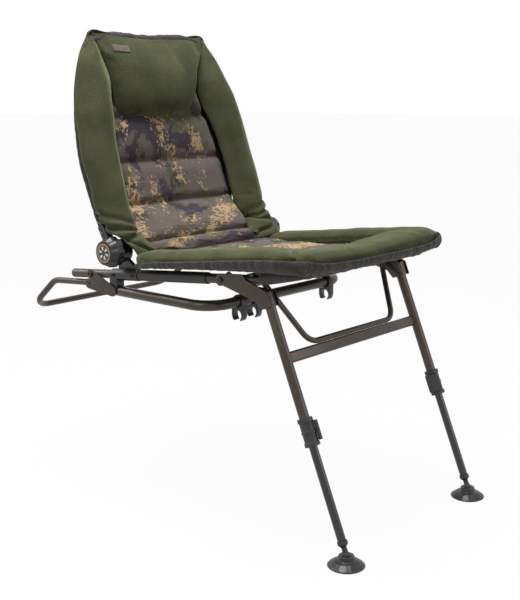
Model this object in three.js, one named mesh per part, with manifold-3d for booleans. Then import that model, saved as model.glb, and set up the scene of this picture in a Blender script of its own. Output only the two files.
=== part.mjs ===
// A recliner chair that clips to the side of a bedchair: two telescopic front legs, a padded
// seat and back on a bent tube frame, and a clip-on cradle with a fold-away rear bar behind.
// Millimetres, +Z up. The origin is the axis of the bedchair rail that the cradle's clips grip.
// The chair faces -Y, and its sitter's right is -X.

import * as THREE from 'three';
import { mergeVertices } from 'three/addons/utils/BufferGeometryUtils.js';
import Module from 'manifold-3d';

const wasm = await Module();
wasm.setup();

// General gaps, walls and facet counts
const fitGap = 0.3;
const cutOverrun = 2;
const weldMerge = 0.001;
const tubeWall = 1.5;
const tubeSides = 12;
const boltSides = 8;
const bendSteps = 5;

// Seat rails: a bent tube whose two rails run back from the front cross tube
const railSpacing = 500;
const railDiameter = 22;
const railPitch = THREE.MathUtils.degToRad(5.2);
const railRearReach = 522;
const railFrontReach = 200;
const railKickReach = 100;
const railFrontRise = 16;
const seatCornerRadius = 45;
const railSleeveDiameter = 27;
const railSleeveStart = 50;
const railSleeveEnd = 274;
const pocketStartShare = 0.12;
const pocketThickness = 1.8;

// Leg pivot, in front of the origin and above it
const legPivotForward = 48;
const legPivotRise = 105;
const pivotBoltDiameter = 8;
const boltHeadDiameter = 14;
const boltHeadHeight = 4;

// Front legs: distances up the leg from the ground, and the leg line's offset from the pivot
const legSlant = THREE.MathUtils.degToRad(22.7);
const legPivotUp = 663.5;
const legOffset = 104;
const upperLegDiameter = 23;
const upperLegBottom = 290;
const upperLegTop = 597;
const lowerLegDiameter = 19;
const lowerLegBottom = 58;
const lowerLegTop = 440;
const crossbarUp = 456;
const crossbarHeight = 25;
const crossbarThickness = 10;

// Leg brackets
const bracketPlate = 2.5;
const bracketCheekRadius = 14;
const bracketReach = 66;
const bracketNose = 10;
const bracketCollarDiameter = 29;
const bracketCollarBottom = 570;
const bracketCollarHeight = 33;
const innerCheekRadius = 12;
const innerCheekReach = 40;
const cheekLap = 0.5;

// Leg brace: a bent tube welded on the crossbar, whose ends snap into clips on the rails
const braceDiameter = 13;
const braceWall = 1.2;
const braceClipReach = 82;
const braceCornerHalfWidth = 160;
const braceBendRadius = 40;
const braceClipLength = 17;
const braceClipWall = 3;
const braceClipOuterGrip = 8;

// Leg locks: ribbed collars with cam levers
const lockBottom = 264;
const lockTop = 325;
const lockFlange = 9;
const lockFlangeDiameter = 34;
const lockWaistDiameter = 30;
const lockBeadDiameter = 32;
const lockBeadHeight = 6;
const leverTurn = THREE.MathUtils.degToRad(26);
const leverHingeOut = 17;
const leverHingeAside = 12;
const leverBarrelDiameter = 7;
const leverLugDiameter = 9;
const leverPlate = 5;
const leverWidth = 28;

// Ankles and feet
const ballUp = 26;
const ballDiameter = 18;
const ankleCollarDiameter = 23;
const ankleCollarTop = 74;
const ankleNeckDiameter = 12;
const ankleNeckTop = 50;
const footDiameter = 82;
const footRim = 5;
const footDomeHeight = 13;
const footDomeDiameter = 54;
const footBossDiameter = 34;
const footSocketDiameter = 19;
const footBossHeight = 25;

// Recliner hubs
const hubReach = 334;
const hubRise = 58.5;
const hubClampDiameter = 29;
const hubClampFront = 277;
const hubClampRear = 372;
const hubDiscDiameter = 56;
const hubWebInset = 10;
const hubWebThickness = 10;
const hubDiscThickness = 13;
const hubWebFront = 286;
const hubWebRear = 352;
const axleDiameter = 10;
const axleHeadHeight = 7.7;
const hubBoltDiameter = 9;
const hubBoltHeight = 4;
const hubBoltFront = 291;
const hubBoltRear = 358;
const socketDiameter = 27;
const socketLength = 44;
const socketArmWidth = 24;
const socketArmInset = 1;

// Recliner knobs
const knobRunningGap = 0.5;
const knobLength = 43.5;
const knobAxleCover = 11;
const knobDiameter = 75;
const knobFaceDiameter = 58;
const knobLobes = 8;
const knobLobeDepthShare = 0.09;
const dialDiameter = 49;
const dialThickness = 2;
const dialRecess = 1.2;

// Backrest frame, measured back and up from the hub axis
const backDepth = 173;
const backRise = 512;
const backHalfWidth = 250;
const backTubeDiameter = 20;
const backCoverThickness = 3;
const backSeatGap = 1.2;
const wingSeatGap = 1.5;
const wingTubeOverhang = 13;
const backTubeSteps = 3;

// Seat pads, measured up from the rail axis
const seatPadFront = 146;
const seatPadRear = 288;
const seatPadBottom = 13;
const seatPadTop = 47;
const bolsterBottom = 13.9;
const bolsterTop = 73;
const bolsterInner = 197;
const bolsterOuter = 293;
const bolsterRear = 248;
const bolsterFront = 120;
const frontBolsterHalfWidth = 272;
const frontBolsterRear = 147;
const frontBolsterFront = 246;
const frontBolsterTop = 71;

// Backrest pads
const backPadHalfWidth = 188;
const wingOuter = 300;
const headrestHalfWidth = 151;
const padEndShare = 0.4;
const rollEndShare = 0.55;
const endPower = 6;
const softPower = 0.5;
const channelDepthShare = 0.45;
const backSeamShares = [0, 0.4, 0.6, 0.8, 1];
const seatSeamShares = [0, 0.25, 0.5, 0.75, 1];
const channelSteps = 20;
const flatRoundness = 0;
const rollRoundness = 0.8;
const wingRoundness = 0.6;

// Cradle: the bow that carries the clips, and its plates
const bowDiameter = 25;
const bowRise = 32;
const bowRear = 325;
const bowBendRadius = 62;
const cradleBoltReach = 442;
const plateThickness = 3;
const plateEndRadius = 13;
const stopPadReach = 350;
const stopPadLength = 26;
const stopPadWidth = 24;

// Clips
const clipWidth = 18;
const clipWall = 4;
const bedRailDiameter = 25;
const clipMouthShare = 0.72;
const clipRightPlace = -150;
const clipMiddlePlace = -98;
const clipLeftPlace = 180;

// Rear bar
const rearBarDiameter = 16;
const rearBarPivotBack = 400;
const rearBarPivotRise = 41;
const rearBarKneeBack = 554;
const rearBarKneeRise = 29;
const rearBarEndBack = 654;
const rearBarEndRise = -55;
const rearBarBendRadius = 55;
const rearBarPlugDiameter = 18;
const rearBarPlugLength = 22;
const rivetDiameter = 6;

// Colours
const colours = {
  bronze: 0x4a443c,
  black: 0x17171a,
  steel: 0x8d8a86,
  green: 0x4c5a2e,
  camouflage: 0x5b5043,
  skirt: 0x3a3836,
};

// Directions and places
const halfRail = railSpacing / 2;
const railRadius = railDiameter / 2;
const sides = [['right', -1], ['left', 1]];
const up = new THREE.Vector3(0, 0, 1);
const sideways = new THREE.Vector3(1, 0, 0);
const part = new THREE.Group();

// A place in the middle plane, given along the rails from the leg pivot (rear positive) and above them
function railPoint(reach, rise = 0, x = 0) {
  const y = reach * Math.cos(railPitch) + rise * Math.sin(railPitch) - legPivotForward;
  const z = rise * Math.cos(railPitch) - reach * Math.sin(railPitch) + legPivotRise;
  return new THREE.Vector3(x, y, z);
}

// A place given up the leg from the ground and behind the leg line
function legPoint(distance, behind = 0, x = 0) {
  const along = distance - legPivotUp;
  const aside = behind - legOffset;
  const y = along * Math.sin(legSlant) + aside * Math.cos(legSlant) - legPivotForward;
  const z = along * Math.cos(legSlant) - aside * Math.sin(legSlant) + legPivotRise;
  return new THREE.Vector3(x, y, z);
}

const hubAxis = railPoint(hubReach, hubRise);
const legDirection = new THREE.Vector3(0, Math.sin(legSlant), Math.cos(legSlant));

// A place behind and above the hub axis, in shares of the backrest's depth and height
function backPoint(depthShare, riseShare, x = 0) {
  return new THREE.Vector3(x, hubAxis.y + depthShare * backDepth, hubAxis.z + riseShare * backRise);
}

// Turns a mirrored mesh's faces so that they point out
function facedOut(geometry) {
  const position = geometry.getAttribute('position');
  const index = geometry.index.array;
  const [a, b, c] = [new THREE.Vector3(), new THREE.Vector3(), new THREE.Vector3()];
  let volume = 0;
  for (let i = 0; i < index.length; i += 3) {
    a.fromBufferAttribute(position, index[i]);
    b.fromBufferAttribute(position, index[i + 1]);
    c.fromBufferAttribute(position, index[i + 2]);
    volume += a.dot(b.cross(c));
  }
  if (volume < 0) {
    index.reverse();
  }
  return geometry;
}

// A closed solid from a geometry, and a geometry from a solid
function solid(geometry) {
  const bare = new THREE.BufferGeometry();
  bare.setAttribute('position', geometry.getAttribute('position').clone());
  bare.setIndex(geometry.index);
  const merged = facedOut(mergeVertices(bare, weldMerge));
  return new wasm.Manifold(new wasm.Mesh({
    numProp: 3,
    vertProperties: merged.getAttribute('position').array,
    triVerts: merged.index.array,
  }));
}

function geometryOf(manifold) {
  const mesh = manifold.getMesh();
  const geometry = new THREE.BufferGeometry();
  geometry.setAttribute('position', new THREE.BufferAttribute(mesh.vertProperties, mesh.numProp));
  geometry.setIndex(new THREE.BufferAttribute(mesh.triVerts, 1));
  geometry.computeVertexNormals();
  return geometry;
}

function joined(...geometries) {
  return geometryOf(geometries.map(solid).reduce((whole, next) => whole.add(next)));
}

function cut(geometry, ...tools) {
  return geometryOf(tools.map(solid).reduce((whole, tool) => whole.subtract(tool), solid(geometry)));
}

function addPiece(name, geometry, colour, roughness, metalness) {
  const material = new THREE.MeshStandardMaterial({ color: colours[colour], roughness, metalness });
  const mesh = new THREE.Mesh(geometryOf(solid(geometry)), material);
  mesh.name = name;
  part.add(mesh);
}

const addMetal = (name, geometry) => addPiece(name, geometry, 'bronze', 0.5, 0.6);
const addBolt = (name, geometry) => addPiece(name, geometry, 'steel', 0.35, 0.9);
const addPlastic = (name, geometry) => addPiece(name, geometry, 'black', 0.45, 0);
const addFabric = (name, geometry, colour) => addPiece(name, geometry, colour, 0.95, 0);

// A path through given stations, one tube step each, with mitred directions
class StationPath extends THREE.Curve {
  constructor(stations) {
    super();
    this.stations = stations;
  }

  getPointAt(share) {
    return this.stations[Math.round(share * (this.stations.length - 1))].clone();
  }

  getTangentAt(share) {
    const last = this.stations.length - 1;
    const index = Math.round(share * last);
    const here = this.stations[index];
    const before = this.stations[Math.max(index - 1, 0)];
    const after = this.stations[Math.min(index + 1, last)];
    const arriving = here.clone().sub(before).normalize();
    const leaving = after.clone().sub(here).normalize();
    return arriving.add(leaving).normalize();
  }
}

// Stations of a polyline whose inner corners are bent to a radius
function bentStations(corners, radius) {
  const stations = [corners[0]];
  for (let i = 1; i < corners.length - 1; i += 1) {
    const inward = corners[i - 1].clone().sub(corners[i]).normalize();
    const outward = corners[i + 1].clone().sub(corners[i]).normalize();
    const half = inward.angleTo(outward) / 2;
    const middle = inward.clone().add(outward).normalize();
    const centre = corners[i].clone().addScaledVector(middle, radius / Math.sin(half));
    const start = corners[i].clone().addScaledVector(inward, radius / Math.tan(half)).sub(centre);
    const turn = Math.PI - 2 * half;
    const axis = inward.clone().negate().cross(outward).normalize();
    for (let step = 0; step <= bendSteps; step += 1) {
      stations.push(start.clone().applyAxisAngle(axis, (turn * step) / bendSteps).add(centre));
    }
  }
  stations.push(corners[corners.length - 1]);
  return stations;
}

// Round outlines
function circlePoints(radius, count = tubeSides) {
  const points = [];
  for (let i = 0; i < count; i += 1) {
    const angle = (2 * Math.PI * (i + 0.5)) / count;
    points.push(new THREE.Vector2(radius * Math.cos(angle), radius * Math.sin(angle)));
  }
  return points;
}

function discShape(radius, bore = 0, count = tubeSides) {
  const shape = new THREE.Shape(circlePoints(radius, count));
  if (bore > 0) {
    shape.holes.push(new THREE.Path(circlePoints(bore, count)));
  }
  return shape;
}

// A tube or rod that follows stations
function tube(stations, outer, inner = 0, count = tubeSides) {
  return new THREE.ExtrudeGeometry(discShape(outer, inner, count), {
    steps: stations.length - 1,
    extrudePath: new StationPath(stations),
  });
}

// A rod or ring along X between two distances from the middle plane, on one side
function crossRod(side, near, far, place, radius, bore = 0, count = boltSides) {
  const ends = [near, far].map((x) => new THREE.Vector3(side * x, place.y, place.z));
  return tube(ends, radius, bore, count);
}

// The distance from a faceted tube's axis to its flats
function flatOf(radius) {
  return radius * Math.cos(Math.PI / tubeSides);
}

// A bore's radius that clears a faceted rod of a given radius, however it is turned
function clearBore(radius, count = tubeSides) {
  return (radius + fitGap) / Math.cos(Math.PI / count);
}

// A flat plate across X from an outline of places in the middle plane
function plate(side, near, far, outline) {
  const shape = new THREE.Shape(outline.map((place) => new THREE.Vector2(place.y, place.z)));
  const geometry = new THREE.ExtrudeGeometry(shape, { depth: far - near, bevelEnabled: false });
  geometry.applyMatrix4(new THREE.Matrix4().makeBasis(new THREE.Vector3(0, 1, 0), up, sideways));
  geometry.translate(side > 0 ? near : -far, 0, 0);
  return geometry;
}

// Places on an arc round a centre in the middle plane, from one angle to another
function arc(centre, radius, from, to, steps = bendSteps) {
  const places = [];
  for (let i = 0; i <= steps; i += 1) {
    const angle = from + ((to - from) * i) / steps;
    places.push(new THREE.Vector3(
      0,
      centre.y + radius * Math.cos(angle),
      centre.z + radius * Math.sin(angle),
    ));
  }
  return places;
}

// The outline of a strap with round ends round two places
function strap(first, second, radius, otherRadius = radius) {
  const angle = Math.atan2(second.z - first.z, second.y - first.y);
  const quarter = Math.PI / 2;
  return [
    ...arc(first, radius, angle + quarter, angle + 3 * quarter),
    ...arc(second, otherRadius, angle - quarter, angle + quarter),
  ];
}

// A turned piece on the Z axis from its half profile, which starts and ends on the axis
function turned(profile, count = tubeSides) {
  const points = profile.map(([radius, height]) => new THREE.Vector2(radius, height));
  const geometry = new THREE.LatheGeometry(points, count);
  return geometry.rotateX(Math.PI / 2);
}

// The same turned piece stood on a place and pointed along a direction
function turnedAlong(profile, place, direction, count = tubeSides) {
  const geometry = turned(profile, count);
  geometry.applyQuaternion(new THREE.Quaternion().setFromUnitVectors(up, direction));
  return geometry.translate(place.x, place.y, place.z);
}

// A block along X, the rails and their normal, from the least and greatest of each
function railBlock(side, xs, reaches, rises) {
  const outline = [
    railPoint(reaches[0], rises[0]),
    railPoint(reaches[1], rises[0]),
    railPoint(reaches[1], rises[1]),
    railPoint(reaches[0], rises[1]),
  ];
  return plate(side, xs[0], xs[1], outline);
}

function railTube(side, from, to, outer, inner, count = tubeSides) {
  return tube([railPoint(from, 0, side * halfRail), railPoint(to, 0, side * halfRail)], outer, inner, count);
}

function legTube(side, from, to, outer, inner, count = tubeSides) {
  return tube([legPoint(from, 0, side * halfRail), legPoint(to, 0, side * halfRail)], outer, inner, count);
}

// The rails' kick and the frame's front corner on one side
const railKick = (x) => railPoint(-railKickReach, 0, x);
const railCorner = (x) => railPoint(-railFrontReach, railFrontRise, x);

// Seat frame: one bent tube, drilled across for the leg pivots and the cradle bolts
function addSeatFrame() {
  const corners = [
    railPoint(railRearReach, 0, -halfRail),
    railKick(-halfRail),
    railCorner(-halfRail),
    railCorner(halfRail),
    railKick(halfRail),
    railPoint(railRearReach, 0, halfRail),
  ];
  const bent = tube(bentStations(corners, seatCornerRadius), railRadius, railRadius - tubeWall);
  const boltHole = pivotBoltDiameter / 2 + fitGap;
  const drills = [];
  for (const [, side] of sides) {
    for (const reach of [0, cradleBoltReach]) {
      const reachOut = railRadius + cutOverrun;
      drills.push(crossRod(side, halfRail - reachOut, halfRail + reachOut, railPoint(reach), boltHole));
    }
  }
  addMetal('seat_frame', cut(bent, ...drills));
}

function addRailSleeves() {
  for (const [name, side] of sides) {
    const bore = railRadius + fitGap;
    const sleeve = railTube(side, railSleeveStart, railSleeveEnd, railSleeveDiameter / 2, bore);
    addPiece(`rail_sleeve_${name}`, sleeve, 'bronze', 0.7, 0.2);
  }
}

// The fabric pocket that wraps the frame's front corners and cross tube
function addFrontPocket() {
  const start = (x) => railKick(x).lerp(railCorner(x), pocketStartShare);
  const corners = [start(-halfRail), railCorner(-halfRail), railCorner(halfRail), start(halfRail)];
  const bore = railRadius + fitGap;
  const pocket = tube(bentStations(corners, seatCornerRadius), bore + pocketThickness, bore);
  addFabric('front_pocket', pocket, 'skirt');
}

// A bolt across a rail, with a head outside and a nut inside
function railBolt(side, reach, inner, outer) {
  const shank = crossRod(side, inner, outer, railPoint(reach), pivotBoltDiameter / 2);
  const head = crossRod(side, outer, outer + boltHeadHeight, railPoint(reach), boltHeadDiameter / 2);
  const nut = crossRod(side, inner - boltHeadHeight, inner, railPoint(reach), boltHeadDiameter / 2);
  return joined(shank, head, nut);
}

// Leg brackets: two cheeks beside the rail and a collar that holds the upper leg
const collarRadius = bracketCollarDiameter / 2;
const bracketCollarTop = bracketCollarBottom + bracketCollarHeight;
const outerCheek = halfRail + collarRadius - cheekLap;
const innerCheek = halfRail - collarRadius + cheekLap;

function bracketLowerEdge() {
  const pivot = railPoint(0);
  return [
    legPoint(bracketCollarTop, -collarRadius),
    legPoint(bracketCollarBottom, -collarRadius),
    legPoint(bracketCollarBottom, collarRadius),
    legPoint(bracketCollarTop - bracketNose, collarRadius + bracketNose),
    ...arc(pivot, bracketCheekRadius, -2 * Math.PI / 3, Math.PI / 2 - railPitch, 2 * bendSteps),
  ];
}

function legBracket(side) {
  const outerOutline = [
    railPoint(-bracketReach, bracketCheekRadius),
    railPoint(-bracketReach - bracketNose, 0),
    ...bracketLowerEdge(),
  ];
  const innerOutline = [
    railPoint(-innerCheekReach, -innerCheekRadius),
    ...bracketLowerEdge(),
  ];
  const collar = legTube(side, bracketCollarBottom, bracketCollarTop, collarRadius,
    upperLegDiameter / 2 + fitGap);
  const outer = plate(side, outerCheek, outerCheek + bracketPlate, outerOutline);
  const inner = plate(side, innerCheek - bracketPlate, innerCheek, innerOutline);
  const boltHole = crossRod(side, innerCheek - bracketPlate - cutOverrun,
    outerCheek + bracketPlate + cutOverrun, railPoint(0), clearBore(pivotBoltDiameter / 2, boltSides));
  return cut(joined(collar, outer, inner), boltHole);
}

function addLegBrackets() {
  for (const [name, side] of sides) {
    addMetal(`leg_bracket_${name}`, legBracket(side));
    const inner = innerCheek - bracketPlate - fitGap;
    const outer = outerCheek + bracketPlate + fitGap;
    addBolt(`leg_pivot_bolt_${name}`, railBolt(side, 0, inner, outer));
  }
}

// Legs: upper tubes, lower tubes and the crossbar welded between
function addLegs() {
  for (const [name, side] of sides) {
    const upper = upperLegDiameter / 2;
    const lower = lowerLegDiameter / 2;
    addMetal(`upper_leg_${name}`, legTube(side, upperLegBottom, upperLegTop, upper, upper - tubeWall));
    addPiece(`lower_leg_${name}`, legTube(side, lowerLegBottom, lowerLegTop, lower, lower - tubeWall),
      'black', 0.2, 0.6);
  }
  const endRadius = crossbarThickness / 2;
  const halfStraight = crossbarHeight / 2 - endRadius;
  const outline = strap(legPoint(crossbarUp - halfStraight), legPoint(crossbarUp + halfStraight), endRadius);
  const reach = halfRail - upperLegDiameter / 2 - fitGap;
  addMetal('leg_crossbar', plate(1, -reach, reach, outline));
}

// Brace: down from the clips beside the rails and across on top of the crossbar
const braceRadius = braceDiameter / 2;
const braceTopX = innerCheek - bracketPlate - 2 * fitGap - braceRadius;
const braceUp = crossbarUp + crossbarHeight / 2 + fitGap + braceRadius;

function addLegBrace() {
  const corners = [
    railPoint(-braceClipReach, 0, -braceTopX),
    legPoint(braceUp, 0, -braceCornerHalfWidth),
    legPoint(braceUp, 0, braceCornerHalfWidth),
    railPoint(-braceClipReach, 0, braceTopX),
  ];
  addMetal('leg_brace', tube(bentStations(corners, braceBendRadius), braceRadius,
    braceRadius - braceWall, boltSides));
}

// Brace clips: black blocks hooked over each rail, open below for the brace's end
function braceClip(side) {
  const inner = braceTopX - braceRadius - braceClipWall;
  const reaches = [-braceClipReach - braceClipLength / 2, -braceClipReach + braceClipLength / 2];
  const top = railRadius + braceClipWall;
  const block = railBlock(side, [inner, halfRail + braceClipOuterGrip], reaches, [-top, top]);
  const rail = railTube(side, reaches[0] - cutOverrun, reaches[1] + cutOverrun, railRadius + fitGap, 0);
  const jawTop = braceRadius + 2 * fitGap;
  const jawSides = [braceTopX - braceRadius - braceClipWall * 2, braceTopX + jawTop];
  const jaw = railBlock(side, jawSides, [reaches[0] - cutOverrun, reaches[1] + cutOverrun],
    [-top - cutOverrun, jawTop]);
  return cut(block, rail, jaw);
}

function addBraceClips() {
  for (const [name, side] of sides) {
    addPlastic(`brace_clip_${name}`, braceClip(side));
  }
}

// Leg locks, with the lever's hinge beside each collar, turned to the inner front
function lockFrame(side) {
  const out = new THREE.Vector3(-side, 0, 0).applyAxisAngle(legDirection, side * leverTurn);
  const aside = legDirection.clone().cross(out);
  return { out, aside };
}

function lockPlace(side, distance, outward, sidelong) {
  const { out, aside } = lockFrame(side);
  return legPoint(distance, 0, side * halfRail)
    .addScaledVector(out, outward)
    .addScaledVector(aside, -side * sidelong);
}

function lockPost(side, from, to, radius, bore = 0) {
  const ends = [from, to].map((distance) => lockPlace(side, distance, leverHingeOut, -leverHingeAside));
  return tube(ends, radius, bore, boltSides);
}

function legLock(side) {
  const flange = lockFlangeDiameter / 2;
  const waist = lockWaistDiameter / 2;
  const bead = lockBeadDiameter / 2;
  const length = lockTop - lockBottom;
  const middle = length / 2;
  const beadHalf = lockBeadHeight / 2;
  const profile = [
    [0, 0],
    [flange, 0],
    [flange, lockFlange],
    [waist, lockFlange],
    [waist, middle - beadHalf],
    [bead, middle - beadHalf],
    [bead, middle + beadHalf],
    [waist, middle + beadHalf],
    [waist, length - lockFlange],
    [flange, length - lockFlange],
    [flange, length],
    [0, length],
  ];
  const body = turnedAlong(profile, legPoint(lockBottom, 0, side * halfRail), legDirection);
  const lugs = [[lockBottom, lockBottom + lockFlange], [lockTop - lockFlange, lockTop]].map(
    ([from, to]) => lockPost(side, from, to, leverLugDiameter / 2),
  );
  const upperBore = legTube(side, upperLegBottom - fitGap, lockTop + cutOverrun,
    upperLegDiameter / 2 + fitGap, 0);
  const lowerBore = legTube(side, lockBottom - cutOverrun, upperLegBottom + cutOverrun,
    lowerLegDiameter / 2 + fitGap, 0);
  return cut(joined(body, ...lugs), upperBore, lowerBore);
}

function lockLever(side) {
  const from = lockBottom + lockFlange + fitGap;
  const to = lockTop - lockFlange - fitGap;
  const barrel = lockPost(side, from, to, leverBarrelDiameter / 2);
  const corner = lockPlace(side, from, leverHingeOut, -leverHingeAside);
  const { out, aside } = lockFrame(side);
  const shape = new THREE.Shape([
    new THREE.Vector2(0, 0),
    new THREE.Vector2(leverPlate, 0),
    new THREE.Vector2(leverPlate, leverWidth - leverPlate / 2),
    new THREE.Vector2(leverPlate / 2, leverWidth),
    new THREE.Vector2(0, leverWidth),
  ]);
  const paddle = new THREE.ExtrudeGeometry(shape, { depth: to - from, bevelEnabled: false });
  const basis = new THREE.Matrix4().makeBasis(out, aside.clone().multiplyScalar(-side), legDirection);
  paddle.applyMatrix4(basis);
  paddle.translate(corner.x, corner.y, corner.z);
  return joined(barrel, paddle);
}

function addLegLocks() {
  for (const [name, side] of sides) {
    addPlastic(`leg_lock_${name}`, legLock(side));
    addPlastic(`lock_lever_${name}`, lockLever(side));
  }
}

// Ankles: a cap on the lower leg with a neck and a ball below
function ankle(side) {
  const radius = ballDiameter / 2;
  const neck = ankleNeckDiameter / 2;
  const collar = ankleCollarDiameter / 2;
  const plug = lowerLegDiameter / 2 - tubeWall - fitGap;
  const profile = [];
  const ballSteps = bendSteps + 2;
  const lastAngle = Math.PI - Math.asin(neck / radius);
  for (let i = 0; i <= ballSteps; i += 1) {
    const angle = (lastAngle * i) / ballSteps;
    profile.push([radius * Math.sin(angle), -radius * Math.cos(angle)]);
  }
  profile.push([neck, ankleNeckTop - ballUp - neck]);
  profile.push([collar, ankleNeckTop - ballUp]);
  profile.push([collar, lowerLegBottom - fitGap - ballUp]);
  profile.push([plug, lowerLegBottom - fitGap - ballUp]);
  profile.push([plug, ankleCollarTop - ballUp]);
  profile.push([0, ankleCollarTop - ballUp]);
  return turnedAlong(profile, legPoint(ballUp, 0, side * halfRail), legDirection, tubeSides);
}

// Feet: broad discs with a boss that cups the ball
const ballPlace = legPoint(ballUp);
const ground = legPoint(0).z;

function foot(side) {
  const socket = footSocketDiameter / 2;
  const profile = [
    [0, 0],
    [footDiameter / 2 - footRim / 2, 0],
    [footDiameter / 2, footRim / 2],
    [footDiameter / 2 - footRim / 2, footRim],
    [footDomeDiameter / 2, footDomeHeight],
    [footBossDiameter / 2, footDomeHeight + footRim / 2],
    [footBossDiameter / 2, footBossHeight],
    [socket, footBossHeight],
  ];
  for (let i = 0; i <= bendSteps; i += 1) {
    const angle = (i * Math.PI) / 2 / bendSteps;
    profile.push([socket * Math.cos(angle), ballPlace.z - ground - socket * Math.sin(angle)]);
  }
  const place = new THREE.Vector3(side * halfRail, ballPlace.y, ground);
  return turnedAlong(profile, place, up, 2 * tubeSides);
}

function addFeet() {
  for (const [name, side] of sides) {
    addPlastic(`ankle_${name}`, ankle(side));
    addPlastic(`foot_${name}`, foot(side));
  }
}

// Recliner hubs: a clamp and fixed disc on the rail, and a turning disc with the frame's socket
const hubDiscInner = halfRail - hubWebInset;
const hubDiscJoint = hubDiscInner + hubWebThickness;
const hubDiscOuter = hubDiscJoint + hubDiscThickness;
const knobInner = hubDiscOuter + knobRunningGap;
const knobOuter = knobInner + knobLength;
const axleOuter = knobOuter - knobAxleCover;
const axleInner = hubDiscInner - fitGap - axleHeadHeight;

const backTubeShares = [
  [1, 0.26, 0.03],
  [1, 0.34, 0.075],
  [1, 0.56, 0.233],
  [1, 0.76, 0.412],
  [0.99, 0.85, 0.62],
  [0.93, 0.885, 0.82],
  [0.8, 0.925, 0.95],
  [0.55, 0.955, 0.99],
  [0, 0.985, 0.985],
];

function backTubeStations() {
  const half = backTubeShares.map(([across, depth, rise]) => backPoint(depth, rise, across * backHalfWidth));
  const mirrored = half.slice(0, -1).reverse().map((place) => place.clone().setX(-place.x));
  const curve = new THREE.CatmullRomCurve3([...half, ...mirrored]);
  return curve.getPoints(backTubeSteps * (half.length - 1));
}

const clampMiddle = (railRadius + fitGap + hubClampDiameter / 2) / 2;

function hubClamp(side) {
  const radius = hubDiscDiameter / 2;
  const clamp = railTube(side, hubClampFront, hubClampRear, hubClampDiameter / 2, railRadius + fitGap);
  const quarter = Math.PI / 2;
  const outline = [
    railPoint(hubWebFront, clampMiddle),
    railPoint(hubWebRear, clampMiddle),
    ...arc(hubAxis, radius, -quarter / 2, 2 * quarter + quarter / 2, 3 * bendSteps),
  ];
  const web = plate(side, hubDiscInner, hubDiscJoint - fitGap, outline);
  const bore = crossRod(side, hubDiscInner - cutOverrun, hubDiscJoint + cutOverrun, hubAxis,
    axleDiameter / 2 + fitGap);
  return cut(joined(clamp, web), bore);
}

function hubDisc(side) {
  const disc = crossRod(side, hubDiscJoint, hubDiscOuter, hubAxis, hubDiscDiameter / 2, 0, 2 * tubeSides);
  const stations = backTubeStations();
  const start = stations[0].clone().setX(side * backHalfWidth);
  const direction = stations[1].clone().setX(start.x).sub(start).normalize();
  const end = start.clone().addScaledVector(direction, socketLength);
  const socket = tube([start, end], socketDiameter / 2, 0);
  const arm = plate(side, hubDiscJoint + socketArmInset, hubDiscOuter - socketArmInset,
    strap(hubAxis, start, socketArmWidth / 2));
  const bore = crossRod(side, hubDiscJoint - cutOverrun, hubDiscOuter + cutOverrun, hubAxis,
    clearBore(axleDiameter / 2, boltSides));
  const tubeBore = tube(stations.slice(0, backTubeSteps + 1).map((place) => place.clone().setX(side * place.x)),
    clearBore(backTubeDiameter / 2));
  return cut(joined(disc, socket, arm), bore, tubeBore);
}

function addHubs() {
  for (const [name, side] of sides) {
    addPlastic(`hub_clamp_${name}`, hubClamp(side));
    addPlastic(`hub_disc_${name}`, hubDisc(side));
    const shank = crossRod(side, axleInner, axleOuter, hubAxis, axleDiameter / 2);
    const head = crossRod(side, axleInner, hubDiscInner - fitGap, hubAxis, boltHeadDiameter / 2);
    addBolt(`recliner_axle_${name}`, joined(shank, head));
    const seat = halfRail + flatOf(hubClampDiameter / 2) + fitGap;
    for (const [place, reach] of [['front', hubBoltFront], ['rear', hubBoltRear]]) {
      const bolt = crossRod(side, seat, seat + hubBoltHeight, railPoint(reach), hubBoltDiameter / 2);
      addBolt(`hub_bolt_${place}_${name}`, bolt);
    }
  }
}

// Knobs: a turned body whose grip is scalloped, with a dial cap let into the face
function knob(side) {
  const face = knobFaceDiameter / 2;
  const dial = dialDiameter / 2 + fitGap;
  const gripShares = [[0, 0.8], [0.12, 0.8], [0.25, 1], [0.62, 0.97], [0.85, 0.84]];
  const profile = [[0, 0]];
  for (const [along, width] of gripShares) {
    profile.push([(width * knobDiameter) / 2, along * knobLength]);
  }
  profile.push([face, knobLength]);
  profile.push([dial, knobLength]);
  profile.push([dial, knobLength - dialRecess]);
  profile.push([0, knobLength - dialRecess]);
  const geometry = turned(profile, 4 * knobLobes);
  const position = geometry.getAttribute('position');
  const gripFrom = face + fitGap;
  for (let i = 0; i < position.count; i += 1) {
    const radius = Math.hypot(position.getX(i), position.getY(i));
    const lobe = (1 - Math.cos(knobLobes * Math.atan2(position.getY(i), position.getX(i)))) / 2;
    const scale = radius > gripFrom ? 1 - knobLobeDepthShare * lobe : 1;
    position.setX(i, position.getX(i) * scale);
    position.setY(i, position.getY(i) * scale);
  }
  const direction = new THREE.Vector3(side, 0, 0);
  geometry.applyQuaternion(new THREE.Quaternion().setFromUnitVectors(up, direction));
  geometry.translate(side * knobInner, hubAxis.y, hubAxis.z);
  const bore = crossRod(side, knobInner - cutOverrun, axleOuter + fitGap, hubAxis,
    clearBore(axleDiameter / 2, boltSides));
  return cut(geometry, bore);
}

function addKnobs() {
  for (const [name, side] of sides) {
    addPlastic(`knob_${name}`, knob(side));
    const seat = knobOuter - dialRecess + fitGap;
    const dial = crossRod(side, seat, seat + dialThickness, hubAxis, dialDiameter / 2, 0, 2 * tubeSides);
    addPiece(`knob_dial_${name}`, dial, 'steel', 0.4, 0.3);
  }
}

function addBackFrame() {
  const radius = backTubeDiameter / 2;
  addMetal('back_frame', tube(backTubeStations(), radius, radius - tubeWall, tubeSides));
}

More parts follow.
